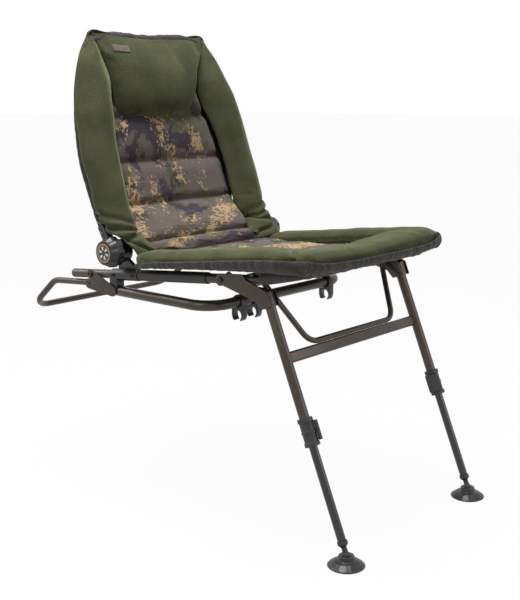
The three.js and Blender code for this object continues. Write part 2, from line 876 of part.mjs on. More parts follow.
// How much of its thickness a stuffed piece keeps at a share of its length, drawn in at both ends
function endFullness(share, least) {
  return least + (1 - least) * (1 - Math.abs(2 * share - 1) ** endPower) ** softPower;
}

// How full a channelled pad is between the two sewn seams that a share lies between
function channelFullness(share, seams) {
  const next = Math.max(1, seams.findIndex((seam) => seam >= share - weldMerge));
  const within = (share - seams[next - 1]) / (seams[next] - seams[next - 1]);
  return Math.abs(Math.sin(Math.PI * within)) ** softPower;
}

// How far one direction of a block is drawn in where the other nears its edge
function drawnIn(value, other, roundness) {
  return value * Math.sqrt(1 - (roundness * other * other) / 2);
}

// A table read smoothly at a share of its length
function reading(table) {
  const curve = new THREE.SplineCurve(table.map((value, index) => new THREE.Vector2(index, value)));
  return (share) => curve.getPoint(share).y;
}

// A padded piece: a finely divided block, drawn in at its corners, between a back and a front line
function padded({ front, rear, inner, outer, segments, roundness, seams, ends = padEndShare }) {
  const frontLine = new THREE.SplineCurve(front.map((place) => new THREE.Vector2(place.y, place.z)));
  const rearLine = new THREE.SplineCurve(rear.map((place) => new THREE.Vector2(place.y, place.z)));
  const innerAt = reading(inner);
  const outerAt = reading(outer);
  const block = new THREE.BoxGeometry(1, 1, 1, ...segments);
  const position = block.getAttribute('position');
  for (let i = 0; i < position.count; i += 1) {
    const share = position.getY(i) + 1 / 2;
    const across = 2 * position.getX(i);
    const through = 2 * position.getZ(i);
    const end = endFullness(share, ends);
    const channel = seams ? channelFullness(share, seams) : 1;
    const crown = through > 0 ? end * (1 - channelDepthShare * (1 - channel)) : end;
    const drawnAcross = drawnIn(across, through, roundness);
    const drawnThrough = drawnIn(through, across, roundness) * crown;
    const width = (outerAt(share) - innerAt(share)) / 2;
    const centre = (outerAt(share) + innerAt(share)) / 2;
    const nearPoint = frontLine.getPoint(share);
    const farPoint = rearLine.getPoint(share);
    const place = farPoint.lerp(nearPoint, (drawnThrough + 1) / 2);
    position.setXYZ(i, centre + width * drawnAcross, place.x, place.y);
  }
  return block;
}

// Seat pad and bolsters, lying on the rails
function addSeatPads() {
  const halfWidth = bolsterInner - fitGap;
  const padReaches = [seatPadRear, (seatPadRear - seatPadFront) / 2, -seatPadFront];
  const seatPad = padded({
    front: padReaches.map((reach) => railPoint(reach, seatPadTop)),
    rear: padReaches.map((reach) => railPoint(reach, seatPadBottom)),
    inner: padReaches.map(() => -halfWidth),
    outer: padReaches.map(() => halfWidth),
    segments: [5, channelSteps, 1],
    roundness: flatRoundness,
    seams: seatSeamShares,
  });
  addFabric('seat_pad', seatPad, 'camouflage');

  const bolsterReaches = [bolsterRear, bolsterRear / 2, 0, -bolsterFront];
  const bolsterTopShares = [0.76, 0.85, 0.94, 1];
  const bolsterOuterShares = [0.93, 0.98, 1, 1];
  for (const [name, side] of sides) {
    const bolster = padded({
      front: bolsterReaches.map((reach, i) => railPoint(reach, bolsterTop * bolsterTopShares[i])),
      rear: bolsterReaches.map((reach) => railPoint(reach, bolsterBottom)),
      inner: bolsterReaches.map(() => side * bolsterInner),
      outer: bolsterOuterShares.map((share) => side * bolsterOuter * share),
      segments: [6, 14, 4],
      roundness: rollRoundness,
      ends: rollEndShare,
    });
    addFabric(`seat_bolster_${name}`, bolster, 'green');
  }
}

// Front bolster: a roll across the front, its ends turned down
function addFrontBolster() {
  const block = new THREE.BoxGeometry(1, 1, 1, 16, 6, 4);
  const bottom = railFrontRise + railRadius + pocketThickness + 2 * fitGap;
  const position = block.getAttribute('position');
  for (let i = 0; i < position.count; i += 1) {
    const across = 2 * position.getX(i);
    const along = 2 * position.getY(i);
    const through = 2 * position.getZ(i);
    const end = endFullness(position.getX(i) + 1 / 2, rollEndShare);
    const alongShare = (drawnIn(along, through, rollRoundness) * end + 1) / 2;
    const riseShare = (drawnIn(through, along, rollRoundness) * end + 1) / 2;
    const reach = -frontBolsterRear - (frontBolsterFront - frontBolsterRear) * alongShare;
    const rise = bottom + (frontBolsterTop - bottom) * riseShare;
    const place = railPoint(reach, rise, across * frontBolsterHalfWidth);
    position.setXYZ(i, place.x, place.y, place.z);
  }
  addFabric('seat_bolster_front', block, 'green');
}

// Backrest lines, in shares of its depth and height
const tubeRearShare = backTubeDiameter / 2 / backDepth;
const frontLineShares = [[-0.16, 0.03], [0.07, 0.11], [0.32, 0.198], [0.514, 0.408], [0.66, 0.62], [0.76, 0.8]];
const tubeSideShares = backTubeShares.slice(1, 6).map(([, depth, rise]) => [depth, rise]);
const coverShares = [...tubeSideShares, [0.985, 0.97]];
const padRearShares = [[0, -0.01], [0.33, 0.085], ...tubeSideShares.slice(1)];

const coverPlace = ([depth, rise], behind) => backPoint(depth + tubeRearShare + behind / backDepth, rise);

const padWidthShares = [0.93, 1, 1, 0.965, 0.87, 0.77];

function addBackPad() {
  const pad = padded({
    front: frontLineShares.map(([depth, rise]) => backPoint(depth, rise)),
    rear: padRearShares.map((shares) => coverPlace(shares, 0)),
    inner: padWidthShares.map((share) => -share * backPadHalfWidth),
    outer: padWidthShares.map((share) => share * backPadHalfWidth),
    segments: [5, channelSteps, 1],
    roundness: flatRoundness,
    seams: backSeamShares,
  });
  addFabric('back_pad', pad, 'camouflage');
}

const coverWidthShares = [0.9, 1, 1, 0.99, 0.93, 0.72];

function addBackCover() {
  const half = coverWidthShares.map((share) => share * backHalfWidth);
  const cover = padded({
    front: coverShares.map((shares) => coverPlace(shares, backSeatGap)),
    rear: coverShares.map((shares) => coverPlace(shares, backSeatGap + backCoverThickness)),
    inner: half.map((width) => -width),
    outer: half,
    segments: [4, 12, 1],
    roundness: 0,
    ends: 1,
  });
  addFabric('back_cover', cover, 'skirt');
}

// A stuffed roll between the four lines that its corners follow
function stuffed({ ridge, outer, rear, inner, segments, roundness, ends }) {
  const lines = [ridge, outer, rear, inner].map((places) => new THREE.CatmullRomCurve3(places));
  const block = new THREE.BoxGeometry(1, 1, 1, ...segments);
  const position = block.getAttribute('position');
  for (let i = 0; i < position.count; i += 1) {
    const share = position.getY(i) + 1 / 2;
    const across = 2 * position.getX(i);
    const through = 2 * position.getZ(i);
    const end = endFullness(share, ends);
    const acrossShare = (drawnIn(across, through, roundness) * end + 1) / 2;
    const throughShare = (drawnIn(through, across, roundness) * end + 1) / 2;
    const [ridgePlace, outerPlace, rearPlace, innerPlace] = lines.map((line) => line.getPoint(share));
    const front = ridgePlace.lerp(outerPlace, acrossShare);
    const place = innerPlace.lerp(rearPlace, acrossShare).lerp(front, throughShare);
    position.setXYZ(i, place.x, place.y, place.z);
  }
  return block;
}

// Wings: the tall stuffed rolls at each side of the back, leaning forward from the frame tube.
// Each row holds shares of the back's depth, its height and the wings' half width.
function addWings() {
  const seatShare = (backTubeDiameter / 2 + wingSeatGap) / backDepth;
  const tubeWidthShare = (backHalfWidth + wingTubeOverhang) / wingOuter;
  const tubeFrontShares = backTubeShares
    .slice(2, 7)
    .map(([width, depth, rise]) => [depth - seatShare, rise, width * tubeWidthShare]);
  const ridgeShares = [
    [-0.27, 0.06, 0.77],
    [-0.07, 0.233, 0.79],
    [0.11, 0.412, 0.79],
    [0.3, 0.62, 0.765],
    [0.55, 0.82, 0.71],
    [0.76, 0.95, 0.66],
  ];
  const outerShares = [
    [0, 0.09, 0.8],
    [0.25, 0.233, 0.98],
    [0.44, 0.412, 1],
    [0.62, 0.62, 0.98],
    [0.82, 0.82, 0.88],
    [0.93, 0.96, 0.72],
  ];
  const innerShares = [
    [-0.2, 0.02, 0.67],
    [0.32, 0.233, 0.637],
    [0.52, 0.412, 0.632],
    [0.66, 0.62, 0.61],
    [0.72, 0.82, 0.567],
    [0.84, 0.95, 0.55],
  ];
  const rearShares = [[0.12, 0.11, 0.78], ...tubeFrontShares];
  for (const [name, side] of sides) {
    const places = (shares) =>
      shares.map(([depth, rise, width]) => backPoint(depth, rise, side * wingOuter * width));
    const wing = stuffed({
      ridge: places(ridgeShares),
      outer: places(outerShares),
      rear: places(rearShares),
      inner: places(innerShares),
      segments: [5, 18, 4],
      roundness: wingRoundness,
      ends: rollEndShare,
    });
    addFabric(`back_wing_${name}`, wing, 'green');
  }
}

// Headrest: a pillow in front of the back's top
function addHeadrest() {
  const frontShares = [[0.52, 0.61], [0.42, 0.69], [0.48, 0.82], [0.64, 0.94], [0.82, 1.0]];
  const rearShares = [[0.66, 0.61], [0.715, 0.7], [0.76, 0.81], [0.805, 0.9], [0.865, 0.975]];
  const widthShares = [0.82, 0.97, 1, 1, 0.95];
  const pillow = padded({
    front: frontShares.map(([depth, rise]) => backPoint(depth, rise)),
    rear: rearShares.map(([depth, rise]) => backPoint(depth, rise)),
    inner: widthShares.map((share) => -share * headrestHalfWidth),
    outer: widthShares.map((share) => share * headrestHalfWidth),
    segments: [8, 10, 3],
    roundness: rollRoundness,
  });
  addFabric('headrest', pillow, 'green');
}

// Cradle: the bow, its plates, the bolts through the rails and the stop pads under them
const bowRadius = bowDiameter / 2;
const bowOuter = halfRail + bowRadius + fitGap;

function addCradle() {
  const corners = [
    new THREE.Vector3(-halfRail, bowRear, bowRise),
    new THREE.Vector3(-halfRail, 0, bowRise),
    new THREE.Vector3(halfRail, 0, bowRise),
    new THREE.Vector3(halfRail, bowRear, bowRise),
  ];
  addMetal('bow', tube(bentStations(corners, bowBendRadius), bowRadius, bowRadius - tubeWall));
  const boltPlace = railPoint(cradleBoltReach);
  const pivotPlace = new THREE.Vector3(0, rearBarPivotBack, rearBarPivotRise);
  const armPlace = new THREE.Vector3(0, bowRear - bowDiameter / 2, bowRise);
  for (const [name, side] of sides) {
    const upperStrap = plate(side, bowOuter, bowOuter + plateThickness,
      strap(boltPlace, armPlace, plateEndRadius));
    const lowerStrap = plate(side, bowOuter, bowOuter + plateThickness,
      strap(pivotPlace, armPlace, plateEndRadius));
    const boltHole = crossRod(side, bowOuter - cutOverrun, bowOuter + plateThickness + cutOverrun,
      boltPlace, clearBore(pivotBoltDiameter / 2, boltSides));
    const rivetHole = crossRod(side, bowOuter - cutOverrun, bowOuter + plateThickness + cutOverrun,
      pivotPlace, clearBore(rivetDiameter / 2, boltSides));
    addMetal(`bow_plate_${name}`, cut(joined(upperStrap, lowerStrap), boltHole, rivetHole));
    const inner = halfRail - railRadius - fitGap;
    const outer = bowOuter + plateThickness + fitGap;
    addBolt(`cradle_bolt_${name}`, railBolt(side, cradleBoltReach, inner, outer));
    addPlastic(`stop_pad_${name}`, stopPad(side));
  }
}

// Stop pads: moulded blocks between each rail's clamp and the bow's arm, hollowed to fit both
function stopPad(side) {
  const middle = railPoint(stopPadReach);
  const outline = [
    new THREE.Vector3(0, bowRear - stopPadLength, bowRise),
    new THREE.Vector3(0, bowRear, bowRise),
    new THREE.Vector3(0, bowRear, middle.z),
    new THREE.Vector3(0, bowRear - stopPadLength, middle.z),
  ];
  const half = stopPadWidth / 2;
  const block = plate(side, halfRail - half, halfRail + half, outline);
  const arm = tube([
    new THREE.Vector3(side * halfRail, 0, bowRise),
    new THREE.Vector3(side * halfRail, bowRear + cutOverrun, bowRise),
  ], bowRadius + fitGap);
  const clamp = railTube(side, stopPadReach - stopPadLength, stopPadReach + 2 * stopPadLength,
    hubClampDiameter / 2 + fitGap, 0);
  return cut(block, arm, clamp);
}

// Clips: a ring snapped round the bow and an open jaw below for the bedchair's rail
function clip(x) {
  const bowPlace = new THREE.Vector3(0, 0, bowRise);
  const railPlace = new THREE.Vector3(0, 0, 0);
  const jaw = bedRailDiameter / 2;
  const outline = strap(railPlace, bowPlace, jaw + clipWall, bowRadius + clipWall);
  const left = x - clipWidth / 2;
  const body = plate(1, left, left + clipWidth, outline);
  const over = [left - cutOverrun, left + clipWidth + cutOverrun];
  const ring = plate(1, ...over, arc(bowPlace, clearBore(bowRadius), 0, 2 * Math.PI, tubeSides).slice(1));
  const rail = plate(1, ...over, arc(railPlace, clearBore(jaw), 0, 2 * Math.PI, tubeSides).slice(1));
  const mouthHalf = jaw * clipMouthShare;
  const mouth = plate(1, ...over, [
    new THREE.Vector3(0, -mouthHalf, -jaw - clipWall - cutOverrun),
    new THREE.Vector3(0, mouthHalf, -jaw - clipWall - cutOverrun),
    new THREE.Vector3(0, mouthHalf, 0),
    new THREE.Vector3(0, -mouthHalf, 0),
  ]);
  return cut(body, ring, rail, mouth);
}

function addClips() {
  addPlastic('clip_right', clip(clipRightPlace));
  addPlastic('clip_middle', clip(clipMiddlePlace));
  addPlastic('clip_left', clip(clipLeftPlace));
}

// Rear bar: a thin bent tube riveted to the plates, with plugged ends and a drain hole below
function addRearBar() {
  const radius = rearBarDiameter / 2;
  const pivot = (x) => new THREE.Vector3(x, rearBarPivotBack, rearBarPivotRise);
  const knee = (x) => new THREE.Vector3(x, rearBarKneeBack, rearBarKneeRise);
  const end = (x) => new THREE.Vector3(x, rearBarEndBack, rearBarEndRise);
  const corners = [-halfRail, halfRail].map((x) => [pivot(x), knee(x), end(x)]);
  const path = [...corners[0], ...corners[1].reverse()];
  let bar = tube(bentStations(path, rearBarBendRadius), radius, radius - tubeWall, boltSides);
  for (const [, side] of sides) {
    const direction = knee(side * halfRail).sub(pivot(side * halfRail)).normalize();
    const plugStart = pivot(side * halfRail).addScaledVector(direction, -radius);
    const plugEnd = plugStart.clone().addScaledVector(direction, rearBarPlugLength);
    const plug = tube([plugStart, plugEnd], rearBarPlugDiameter / 2, 0, boltSides);
    const rivet = crossRod(side, halfRail, bowOuter + plateThickness + cutOverrun, pivot(0),
      rivetDiameter / 2);
    bar = joined(bar, plug, rivet);
  }
  const drain = tube([end(0), end(0).setZ(rearBarEndRise - rearBarDiameter)], rivetDiameter / 2, 0, 4);
  addMetal('rear_bar', cut(bar, drain));
}

addSeatFrame();
addRailSleeves();
addFrontPocket();
addLegBrackets();
addLegs();
addLegBrace();
addBraceClips();
addLegLocks();
addFeet();
addHubs();
addKnobs();
addBackFrame();
addSeatPads();
addFrontBolster();
addBackPad();
addBackCover();
addWings();
addHeadrest();
addCradle();
addClips();
addRearBar();

export default part;
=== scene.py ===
# The dressed fishing chair: tubes, hubs, legs, stuffed pads, cloth, stitching and finishes.
# Metres, in the frame of its solids: the origin is the axis of the bedchair rail, +Z is up,
# the chair faces -Y and its sitter's right is -X.

import math

import bmesh
import bpy
from mathutils import Matrix, Vector, noise


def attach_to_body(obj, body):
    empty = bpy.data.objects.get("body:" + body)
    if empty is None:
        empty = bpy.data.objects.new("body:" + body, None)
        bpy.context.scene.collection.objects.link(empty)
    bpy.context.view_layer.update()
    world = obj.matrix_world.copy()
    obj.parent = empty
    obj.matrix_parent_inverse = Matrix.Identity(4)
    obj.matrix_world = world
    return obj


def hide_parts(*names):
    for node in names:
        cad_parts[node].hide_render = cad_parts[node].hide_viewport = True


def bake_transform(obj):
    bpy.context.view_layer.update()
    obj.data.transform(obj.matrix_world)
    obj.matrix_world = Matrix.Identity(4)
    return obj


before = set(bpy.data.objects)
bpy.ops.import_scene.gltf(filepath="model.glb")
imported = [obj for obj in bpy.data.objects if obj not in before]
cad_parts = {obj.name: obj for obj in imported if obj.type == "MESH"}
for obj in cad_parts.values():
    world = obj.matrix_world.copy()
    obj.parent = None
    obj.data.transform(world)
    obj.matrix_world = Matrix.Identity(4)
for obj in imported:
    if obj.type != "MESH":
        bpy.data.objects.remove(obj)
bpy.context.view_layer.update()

# General sizes
fit_gap = 0.0003
lip = 0.0008
plate_edge = 0.0006
tube_wall = 0.0015
round_sides = 40
bend_steps = 14
sharp_angle = math.radians(38)
flat_angle = math.radians(2)
quarter = math.pi / 2

# Camera: the photograph's place and direction
camera_place = Vector((-1.882, -1.571, 0.519))
camera_back = Vector((-0.7385, -0.6430, 0.2027))
camera_lens = 61.85
camera_sensor = 36

# Floor, lamps and surroundings; each lamp has a place, a width and height, and a power
floor_reach = 30
floor_tone = 0.55
floor_glow_share = 0.96
world_strength = 0.27
lamp_target = (0, 0, 0.1)
lamps = {
    "key": ((-0.35, 0.25, 2.9), (1.5, 1.5), 120),
    "side": ((-2.6, -0.1, 1.5), (1.4, 1.4), 17),
    "rim": ((-1.2, 2.4, 1.6), (1.6, 1.2), 24),
    "front": ((0.9, -2.4, 0.9), (1.4, 1.4), 13),
}

# Waves per metre of the noise in each finish
coat_cloud_waves = 14
coat_scratch_waves = 260
coat_grain_waves = 900
mould_flow_waves = 30
mould_grain_waves = 1400
turning_mark_waves = 420
mesh_tone_waves = 11
mesh_lint_waves = 700
slub_waves = (40, 700, 1)
rubbing_waves = 25
fading_waves = 300
dial_grain_waves = 1200

# Camouflage patches: colour, waves per metre, distortion, range of the edge, start and raggedness
camouflage_patches = [
    ((80, 76, 57), (9, 0.6, 0.5, 0.53, 3.1, 0.15)),
    ((43, 35, 43), (11, 0.6, 0.55, 0.56, 8.6, 0.4)),
    ((176, 147, 108), (12, 0.5, 0.615, 0.625, 21.7, 1.1)),
]

# Grain, weave and print
grain_depth = 0.0002
weave_depth = 0.0003
mesh_depth = 0.0007
mesh_pitch = 0.0046
mesh_slant = math.radians(45)
fine_pitch = 0.0008
cloth_pitch = 0.0011
coarse_pitch = 0.0012
dial_spoke_edge = (0.0155, 0.015)
dial_dot_edge = (0.0062, 0.0058)
dial_ring_edges = ((0.0205, 0.0208), (0.0232, 0.0229))
dial_band_edges = ((0.0163, 0.0166), (0.0202, 0.0199))

# Seat rails
half_rail = 0.25
rail_radius = 0.011
rail_pitch = math.radians(5.2)
rail_rear_reach = 0.522
rail_front_reach = 0.2
rail_kick_reach = 0.1
rail_front_rise = 0.016
seat_corner_radius = 0.045
sleeve_radius = 0.0135
sleeve_start = 0.05
sleeve_end = 0.274

# Legs
leg_pivot_forward = 0.048
leg_pivot_rise = 0.105
leg_slant = math.radians(22.7)
leg_pivot_up = 0.6635
leg_offset = 0.104
upper_leg_radius = 0.0115
upper_leg_bottom = 0.29
upper_leg_top = 0.597
lower_leg_radius = 0.0095
lower_leg_bottom = 0.058
lower_leg_top = 0.44
crossbar_up = 0.456
crossbar_height = 0.025
crossbar_thickness = 0.01
brace_radius = 0.0065
brace_clip_reach = 0.082
brace_corner_half_width = 0.16
brace_bend_radius = 0.04

# Leg brackets
bracket_plate = 0.0025
bracket_cheek_radius = 0.014
bracket_reach = 0.066
bracket_nose = 0.01
collar_radius = 0.0145
collar_bottom = 0.57
collar_top = 0.603
collar_ring = 0.0008
collar_ring_height = 0.004
inner_cheek_radius = 0.012
inner_cheek_reach = 0.04
cheek_lap = 0.0005
bolt_head_radius = 0.007
bolt_head_height = 0.004
bolt_shank_radius = 0.004
nut_sides = 6
cap_width_share = 0.93
cap_height_share = 0.8
screw_socket_share = 0.5
screw_chamfer_share = 1.12
screw_rim_share = 0.9
screw_floor_share = 0.35

# Leg locks, ankles and feet
lock_bottom = 0.264
lock_top = 0.325
lock_flange = 0.009
lock_flange_radius = 0.017
lock_waist_radius = 0.015
lock_bead_radius = 0.016
lock_bead_height = 0.006
lock_ribs = 24
lock_rib_share = 0.03
ball_up = 0.026
ball_radius = 0.009
ankle_collar_radius = 0.0115
ankle_collar_top = 0.074
ankle_neck_radius = 0.006
ankle_neck_top = 0.05
foot_radius = 0.041
foot_rim = 0.005
foot_dome_height = 0.013
foot_dome_radius = 0.027
foot_boss_radius = 0.017
foot_boss_height = 0.025
foot_socket_radius = 0.0095
foot_treads = 16
foot_tread_share = 0.025
tread_inner = foot_boss_radius * 1.05
tread_outer = foot_radius * 0.94

# Recliner hubs and knobs
hub_reach = 0.334
hub_rise = 0.0585
hub_clamp_radius = 0.0145
hub_clamp_front = 0.277
hub_clamp_rear = 0.372
hub_disc_radius = 0.028
hub_disc_inner = 0.24
hub_disc_joint = 0.25
hub_disc_outer = 0.263
hub_web_front = 0.286
hub_web_rear = 0.352
hub_bolt_reaches = {"front": 0.291, "rear": 0.358}
hub_bolt_radius = 0.0045
hub_bolt_height = 0.004
socket_radius = 0.0135
socket_length = 0.044
socket_arm_radius = 0.012
axle_radius = 0.005
axle_head_height = 0.0077
knob_gap = 0.0005
knob_length = 0.0435
knob_radius = 0.0375
knob_face_radius = 0.029
knob_lobes = 8
knob_lobe_share = 0.09
knob_rib_share = 0.012
knob_plain_share = 0.1
knob_edge = 1.5 * lip
# each row is a share of the knob's length and one of its radius
knob_profile_shares = [
    (0, 0.8), (0.1, 0.8), (0.16, 0.92), (0.25, 1), (0.3, 0.985), (0.46, 0.985), (0.62, 0.97),
    (0.74, 0.9), (0.85, 0.84),
]
dial_radius = 0.0245
dial_thickness = 0.002
dial_recess = 0.0012

# Backrest; each row of the tube has shares of the half width, the depth and the height
back_depth = 0.173
back_rise = 0.512
back_half_width = 0.25
back_tube_radius = 0.01
back_tube_shares = [
    (1, 0.26, 0.03),
    (1, 0.34, 0.075),
    (1, 0.56, 0.233),
    (1, 0.76, 0.412),
    (0.99, 0.85, 0.62),
    (0.93, 0.885, 0.82),
    (0.8, 0.925, 0.95),
    (0.55, 0.955, 0.99),
    (0, 0.985, 0.985),
]

# Cradle and rear bar
bow_radius = 0.0125
bow_rise = 0.032
bow_rear = 0.325
bow_bend_radius = 0.062
cradle_bolt_reach = 0.442
plate_thickness = 0.003
rear_bar_radius = 0.008
rear_bar_pivot = (0.4, 0.041)
rear_bar_knee = (0.554, 0.029)
rear_bar_end = (0.654, -0.055)
rear_bar_bend_radius = 0.055
rear_bar_plug_radius = 0.009
rear_bar_plug_length = 0.022
rivet_radius = 0.003

# Stuffing and cloth; each filling has a pressure, a shrinkage and the furthest that skin may move
seat_pad_filling = (4.0, -0.01, 0.003)
bolster_filling = (3.0, -0.02, 0.003)
back_pad_filling = (4.0, -0.01, 0.006)
wing_filling = (2.0, 0.0, 0.0022)
headrest_filling = (2.5, -0.01, 0.0032)
filling_frames = 16
filling_quality = 5
cloth_stiffness = 12
bending_stiffness = 1.5
held_facing = 0.3
held_seam_share = 0.012
corner_power = 3.4
least_section_share = 0.02
edge_power = 8
end_power = 6
pad_fill = 0.7
roll_fill = 0.8
headrest_fill = 0.85
wrap_fill = 0.2
cover_fill = 0.1
cloth_thickness = 0.0007

# Slow unevenness of the stuffing: waves per metre, depth and where the pattern starts
side_bolster_ruffle = (22, 0.0016, 5.0)
front_bolster_ruffle = (20, 0.0018, 9.0)
wing_ruffle = (14, 0.002, 3.0)
headrest_ruffle = (16, 0.0016, 7.0)

# Seat pad, from its rear end to the front
pad_half_width = 0.1967
seat_pad_front = 0.146
seat_pad_rear = 0.288
seat_pad_bottom = 0.013
seat_pad_tops = [0.0455, 0.035, 0.028, 0.026, 0.026]
seat_seam_depth = 0.006
seat_seam_width_share = 0.02
seat_seam_shares = (0.25, 0.5, 0.75)
seat_end_share = 0.45
seat_edge_share = 0.25

# Side bolsters of the seat, from the rear end to the front
bolster_inner = 0.197
bolster_outers = [0.286, 0.292, 0.295, 0.287]
bolster_reaches = [0.265, 0.125, -0.01, -0.1455]
bolster_bottoms = [0.0225, 0.0225, 0.0235, 0.0305]
bolster_tops = [0.0535, 0.0565, 0.0615, 0.0645]
bolster_top_lifts = {"right": 0.002, "left": -0.0035}
bolster_closing_shares = (0.1, 0.04)
corner_mitre = 0.07

# Front bolster, from the right end to the left
front_inner_half_width = 0.2
front_outer_half_width = 0.278
front_rear = 0.147
front_front = 0.246
front_bow_share = 0.2
front_closing_shares = (0.035, 0.035)
front_tops = [0.061, 0.0555, 0.0515, 0.0495, 0.0505, 0.055, 0.0595, 0.0615, 0.058]
front_bottom = 0.0302
front_drop = 0.0185
drop_start_share = 0.69
drop_width_share = 0.09

# Skirt: the gathered dark cloth below the bolsters, from one rear end round the front to the other
skirt_rows = [
    # reach, half width, upper rise, lower half width, lower rise
    (0.26, 0.279, 0.031, 0.262, 0.0185),
    (0.21, 0.2905, 0.0365, 0.272, 0.021),
    (0.1, 0.2945, 0.0415, 0.277, 0.022),
    (0.0, 0.2965, 0.0455, 0.279, 0.022),
    (-0.1, 0.297, 0.049, 0.279, 0.021),
    (-0.17, 0.2955, 0.0495, 0.276, 0.0185),
    (-0.21, 0.289, 0.048, 0.27, 0.0155),
    (-0.229, 0.273, 0.0455, 0.26, 0.0125),
]
skirt_front_rows = [
    # half width, reach and rise of the upper edge, then of the lower edge
    (0.25, -0.2405, 0.042, -0.2215, 0.0105),
    (0.21, -0.249, 0.034, -0.2245, 0.0085),
    (0.12, -0.25, 0.0285, -0.2265, 0.0055),
    (0.0, -0.25, 0.0275, -0.2265, 0.0045),
]
skirt_columns = 10
skirt_step = 0.0022
skirt_bulge = 0.007
gather_pitch = 0.029
fine_gather_pitch = gather_pitch * 0.43
gather_depth = 0.0021
gather_wander_waves = 11
gather_strength_waves = 17
gather_wander_start = 3.7
gather_strength_start = 5.1
wander_turns = 1.6
fine_wander_turns = 2.3
fold_share = 0.75
gather_least_share = 0.35
gather_fade_share = 0.55

# Pocket of cloth round the frame's front
pocket_start_share = 0.12
pocket_thickness = 0.0018
pocket_rest_share = 0.75
pocket_step = 0.005
pocket_lift = 0.0006
pocket_sag = 0.0045
pocket_ruffle_waves = 55
pocket_ruffle = 0.0024

# Backrest pad; each row has shares of the backrest's depth and height
tube_side_shares = [(depth, rise) for _, depth, rise in back_tube_shares[1:6]]
pad_front_shares = [
    (-0.285, -0.02), (-0.16, 0.035), (0.07, 0.11), (0.32, 0.198), (0.514, 0.408), (0.66, 0.62),
    (0.76, 0.8),
]
pad_rear_shares = [(-0.18, -0.045), (0, -0.01), (0.33, 0.085), *tube_side_shares[1:]]
pad_width_shares = [0.95, 0.98, 1, 1, 0.955, 0.8, 0.66]
back_pad_half_width = 0.2
back_seam_shares = (0.18, 0.485, 0.655, 0.825)
back_seam_width_share = 0.01
back_seam_depth = 0.015
back_end_share = 0.4
back_edge_share = 0.3

# Back cover: the cloth behind the frame, and its edge wrapped round the frame's tube
cover_shares = [*tube_side_shares, (0.985, 0.97)]
cover_width_shares = [0.9, 1, 1, 0.99, 0.93, 0.72]
cover_gap = 0.0012
cover_half_thickness = 0.0015
rim_thickness = 0.0022
rim_start_share = 0.075
rim_ruffle = (70, 0.0018)

# Wings: places at one height after another, from the tail on the seat to the top corner
wing_ridge = [
    (0.236, 0.206, 0.13), (0.242, 0.224, 0.15), (0.241, 0.24, 0.18), (0.239, 0.27, 0.231),
    (0.238, 0.29, 0.287), (0.237, 0.31, 0.347), (0.232, 0.329, 0.405), (0.222, 0.351, 0.487),
    (0.213, 0.373, 0.535), (0.207, 0.403, 0.583), (0.198, 0.43, 0.622), (0.197, 0.446, 0.643),
]
wing_outer = [
    (0.258, 0.22, 0.114), (0.27, 0.241, 0.147), (0.297, 0.3, 0.188), (0.302, 0.329, 0.236),
    (0.3, 0.344, 0.287), (0.3, 0.368, 0.347), (0.298, 0.387, 0.405), (0.288, 0.413, 0.488),
    (0.271, 0.428, 0.537), (0.249, 0.441, 0.585), (0.219, 0.453, 0.624), (0.204, 0.453, 0.644),
]
wing_rear = [
    (0.23, 0.241, 0.112), (0.234, 0.266, 0.149), (0.262, 0.332, 0.176), (0.263, 0.366, 0.231),
    (0.263, 0.385, 0.287), (0.263, 0.407, 0.347), (0.262, 0.416, 0.405), (0.257, 0.424, 0.487),
    (0.248, 0.427, 0.537), (0.229, 0.432, 0.585), (0.205, 0.442, 0.625), (0.199, 0.452, 0.643),
]
wing_inner = [
    (0.186, 0.238, 0.114), (0.177, 0.257, 0.138), (0.18, 0.297, 0.17), (0.185, 0.33, 0.225),
    (0.184, 0.352, 0.287), (0.181, 0.372, 0.347), (0.173, 0.392, 0.405), (0.149, 0.426, 0.487),
    (0.149, 0.43, 0.537), (0.165, 0.436, 0.585), (0.184, 0.442, 0.626), (0.191, 0.448, 0.643),
]
wing_closing_shares = (0.035, 0.03)
rear_corner_power = 14
wing_fold_lines = [
    # height on the ridge, slope outward, depth, width
    (0.204, 0.3, 0.006, 0.008),
    (0.186, 0.1, 0.01, 0.006),
    (0.17, -0.15, 0.01, 0.005),
    (0.152, 0.4, 0.009, 0.005),
]
wing_fold_middle = 0.24
wing_fold_wander = 0.006
wing_fold_waves = 25

# Headrest, from its lower edge to the top, and the tag on it
headrest_front = [
    (0, 0.412, 0.446), (0, 0.391, 0.46), (0, 0.384, 0.5), (0, 0.397, 0.56), (0, 0.421, 0.612),
    (0, 0.443, 0.64),
]
headrest_rear = [
    (0, 0.414, 0.445), (0, 0.419, 0.458), (0, 0.421, 0.498), (0, 0.429, 0.556), (0, 0.44, 0.612),
    (0, 0.45, 0.641),
]
headrest_half_widths = [0.126, 0.131, 0.141, 0.157, 0.18, 0.193]
headrest_offsets = [-0.023, -0.021, -0.012, -0.004, 0, 0]
headrest_edge_lift = 0.011
headrest_lower_lift = 0.012
headrest_edge_share = 0.985
tag_corners = ((-0.146, 0.6045), (-0.0935, 0.6215))
tag_slope = 0.05
tag_lift = 0.0009
tag_steps = (12, 6)

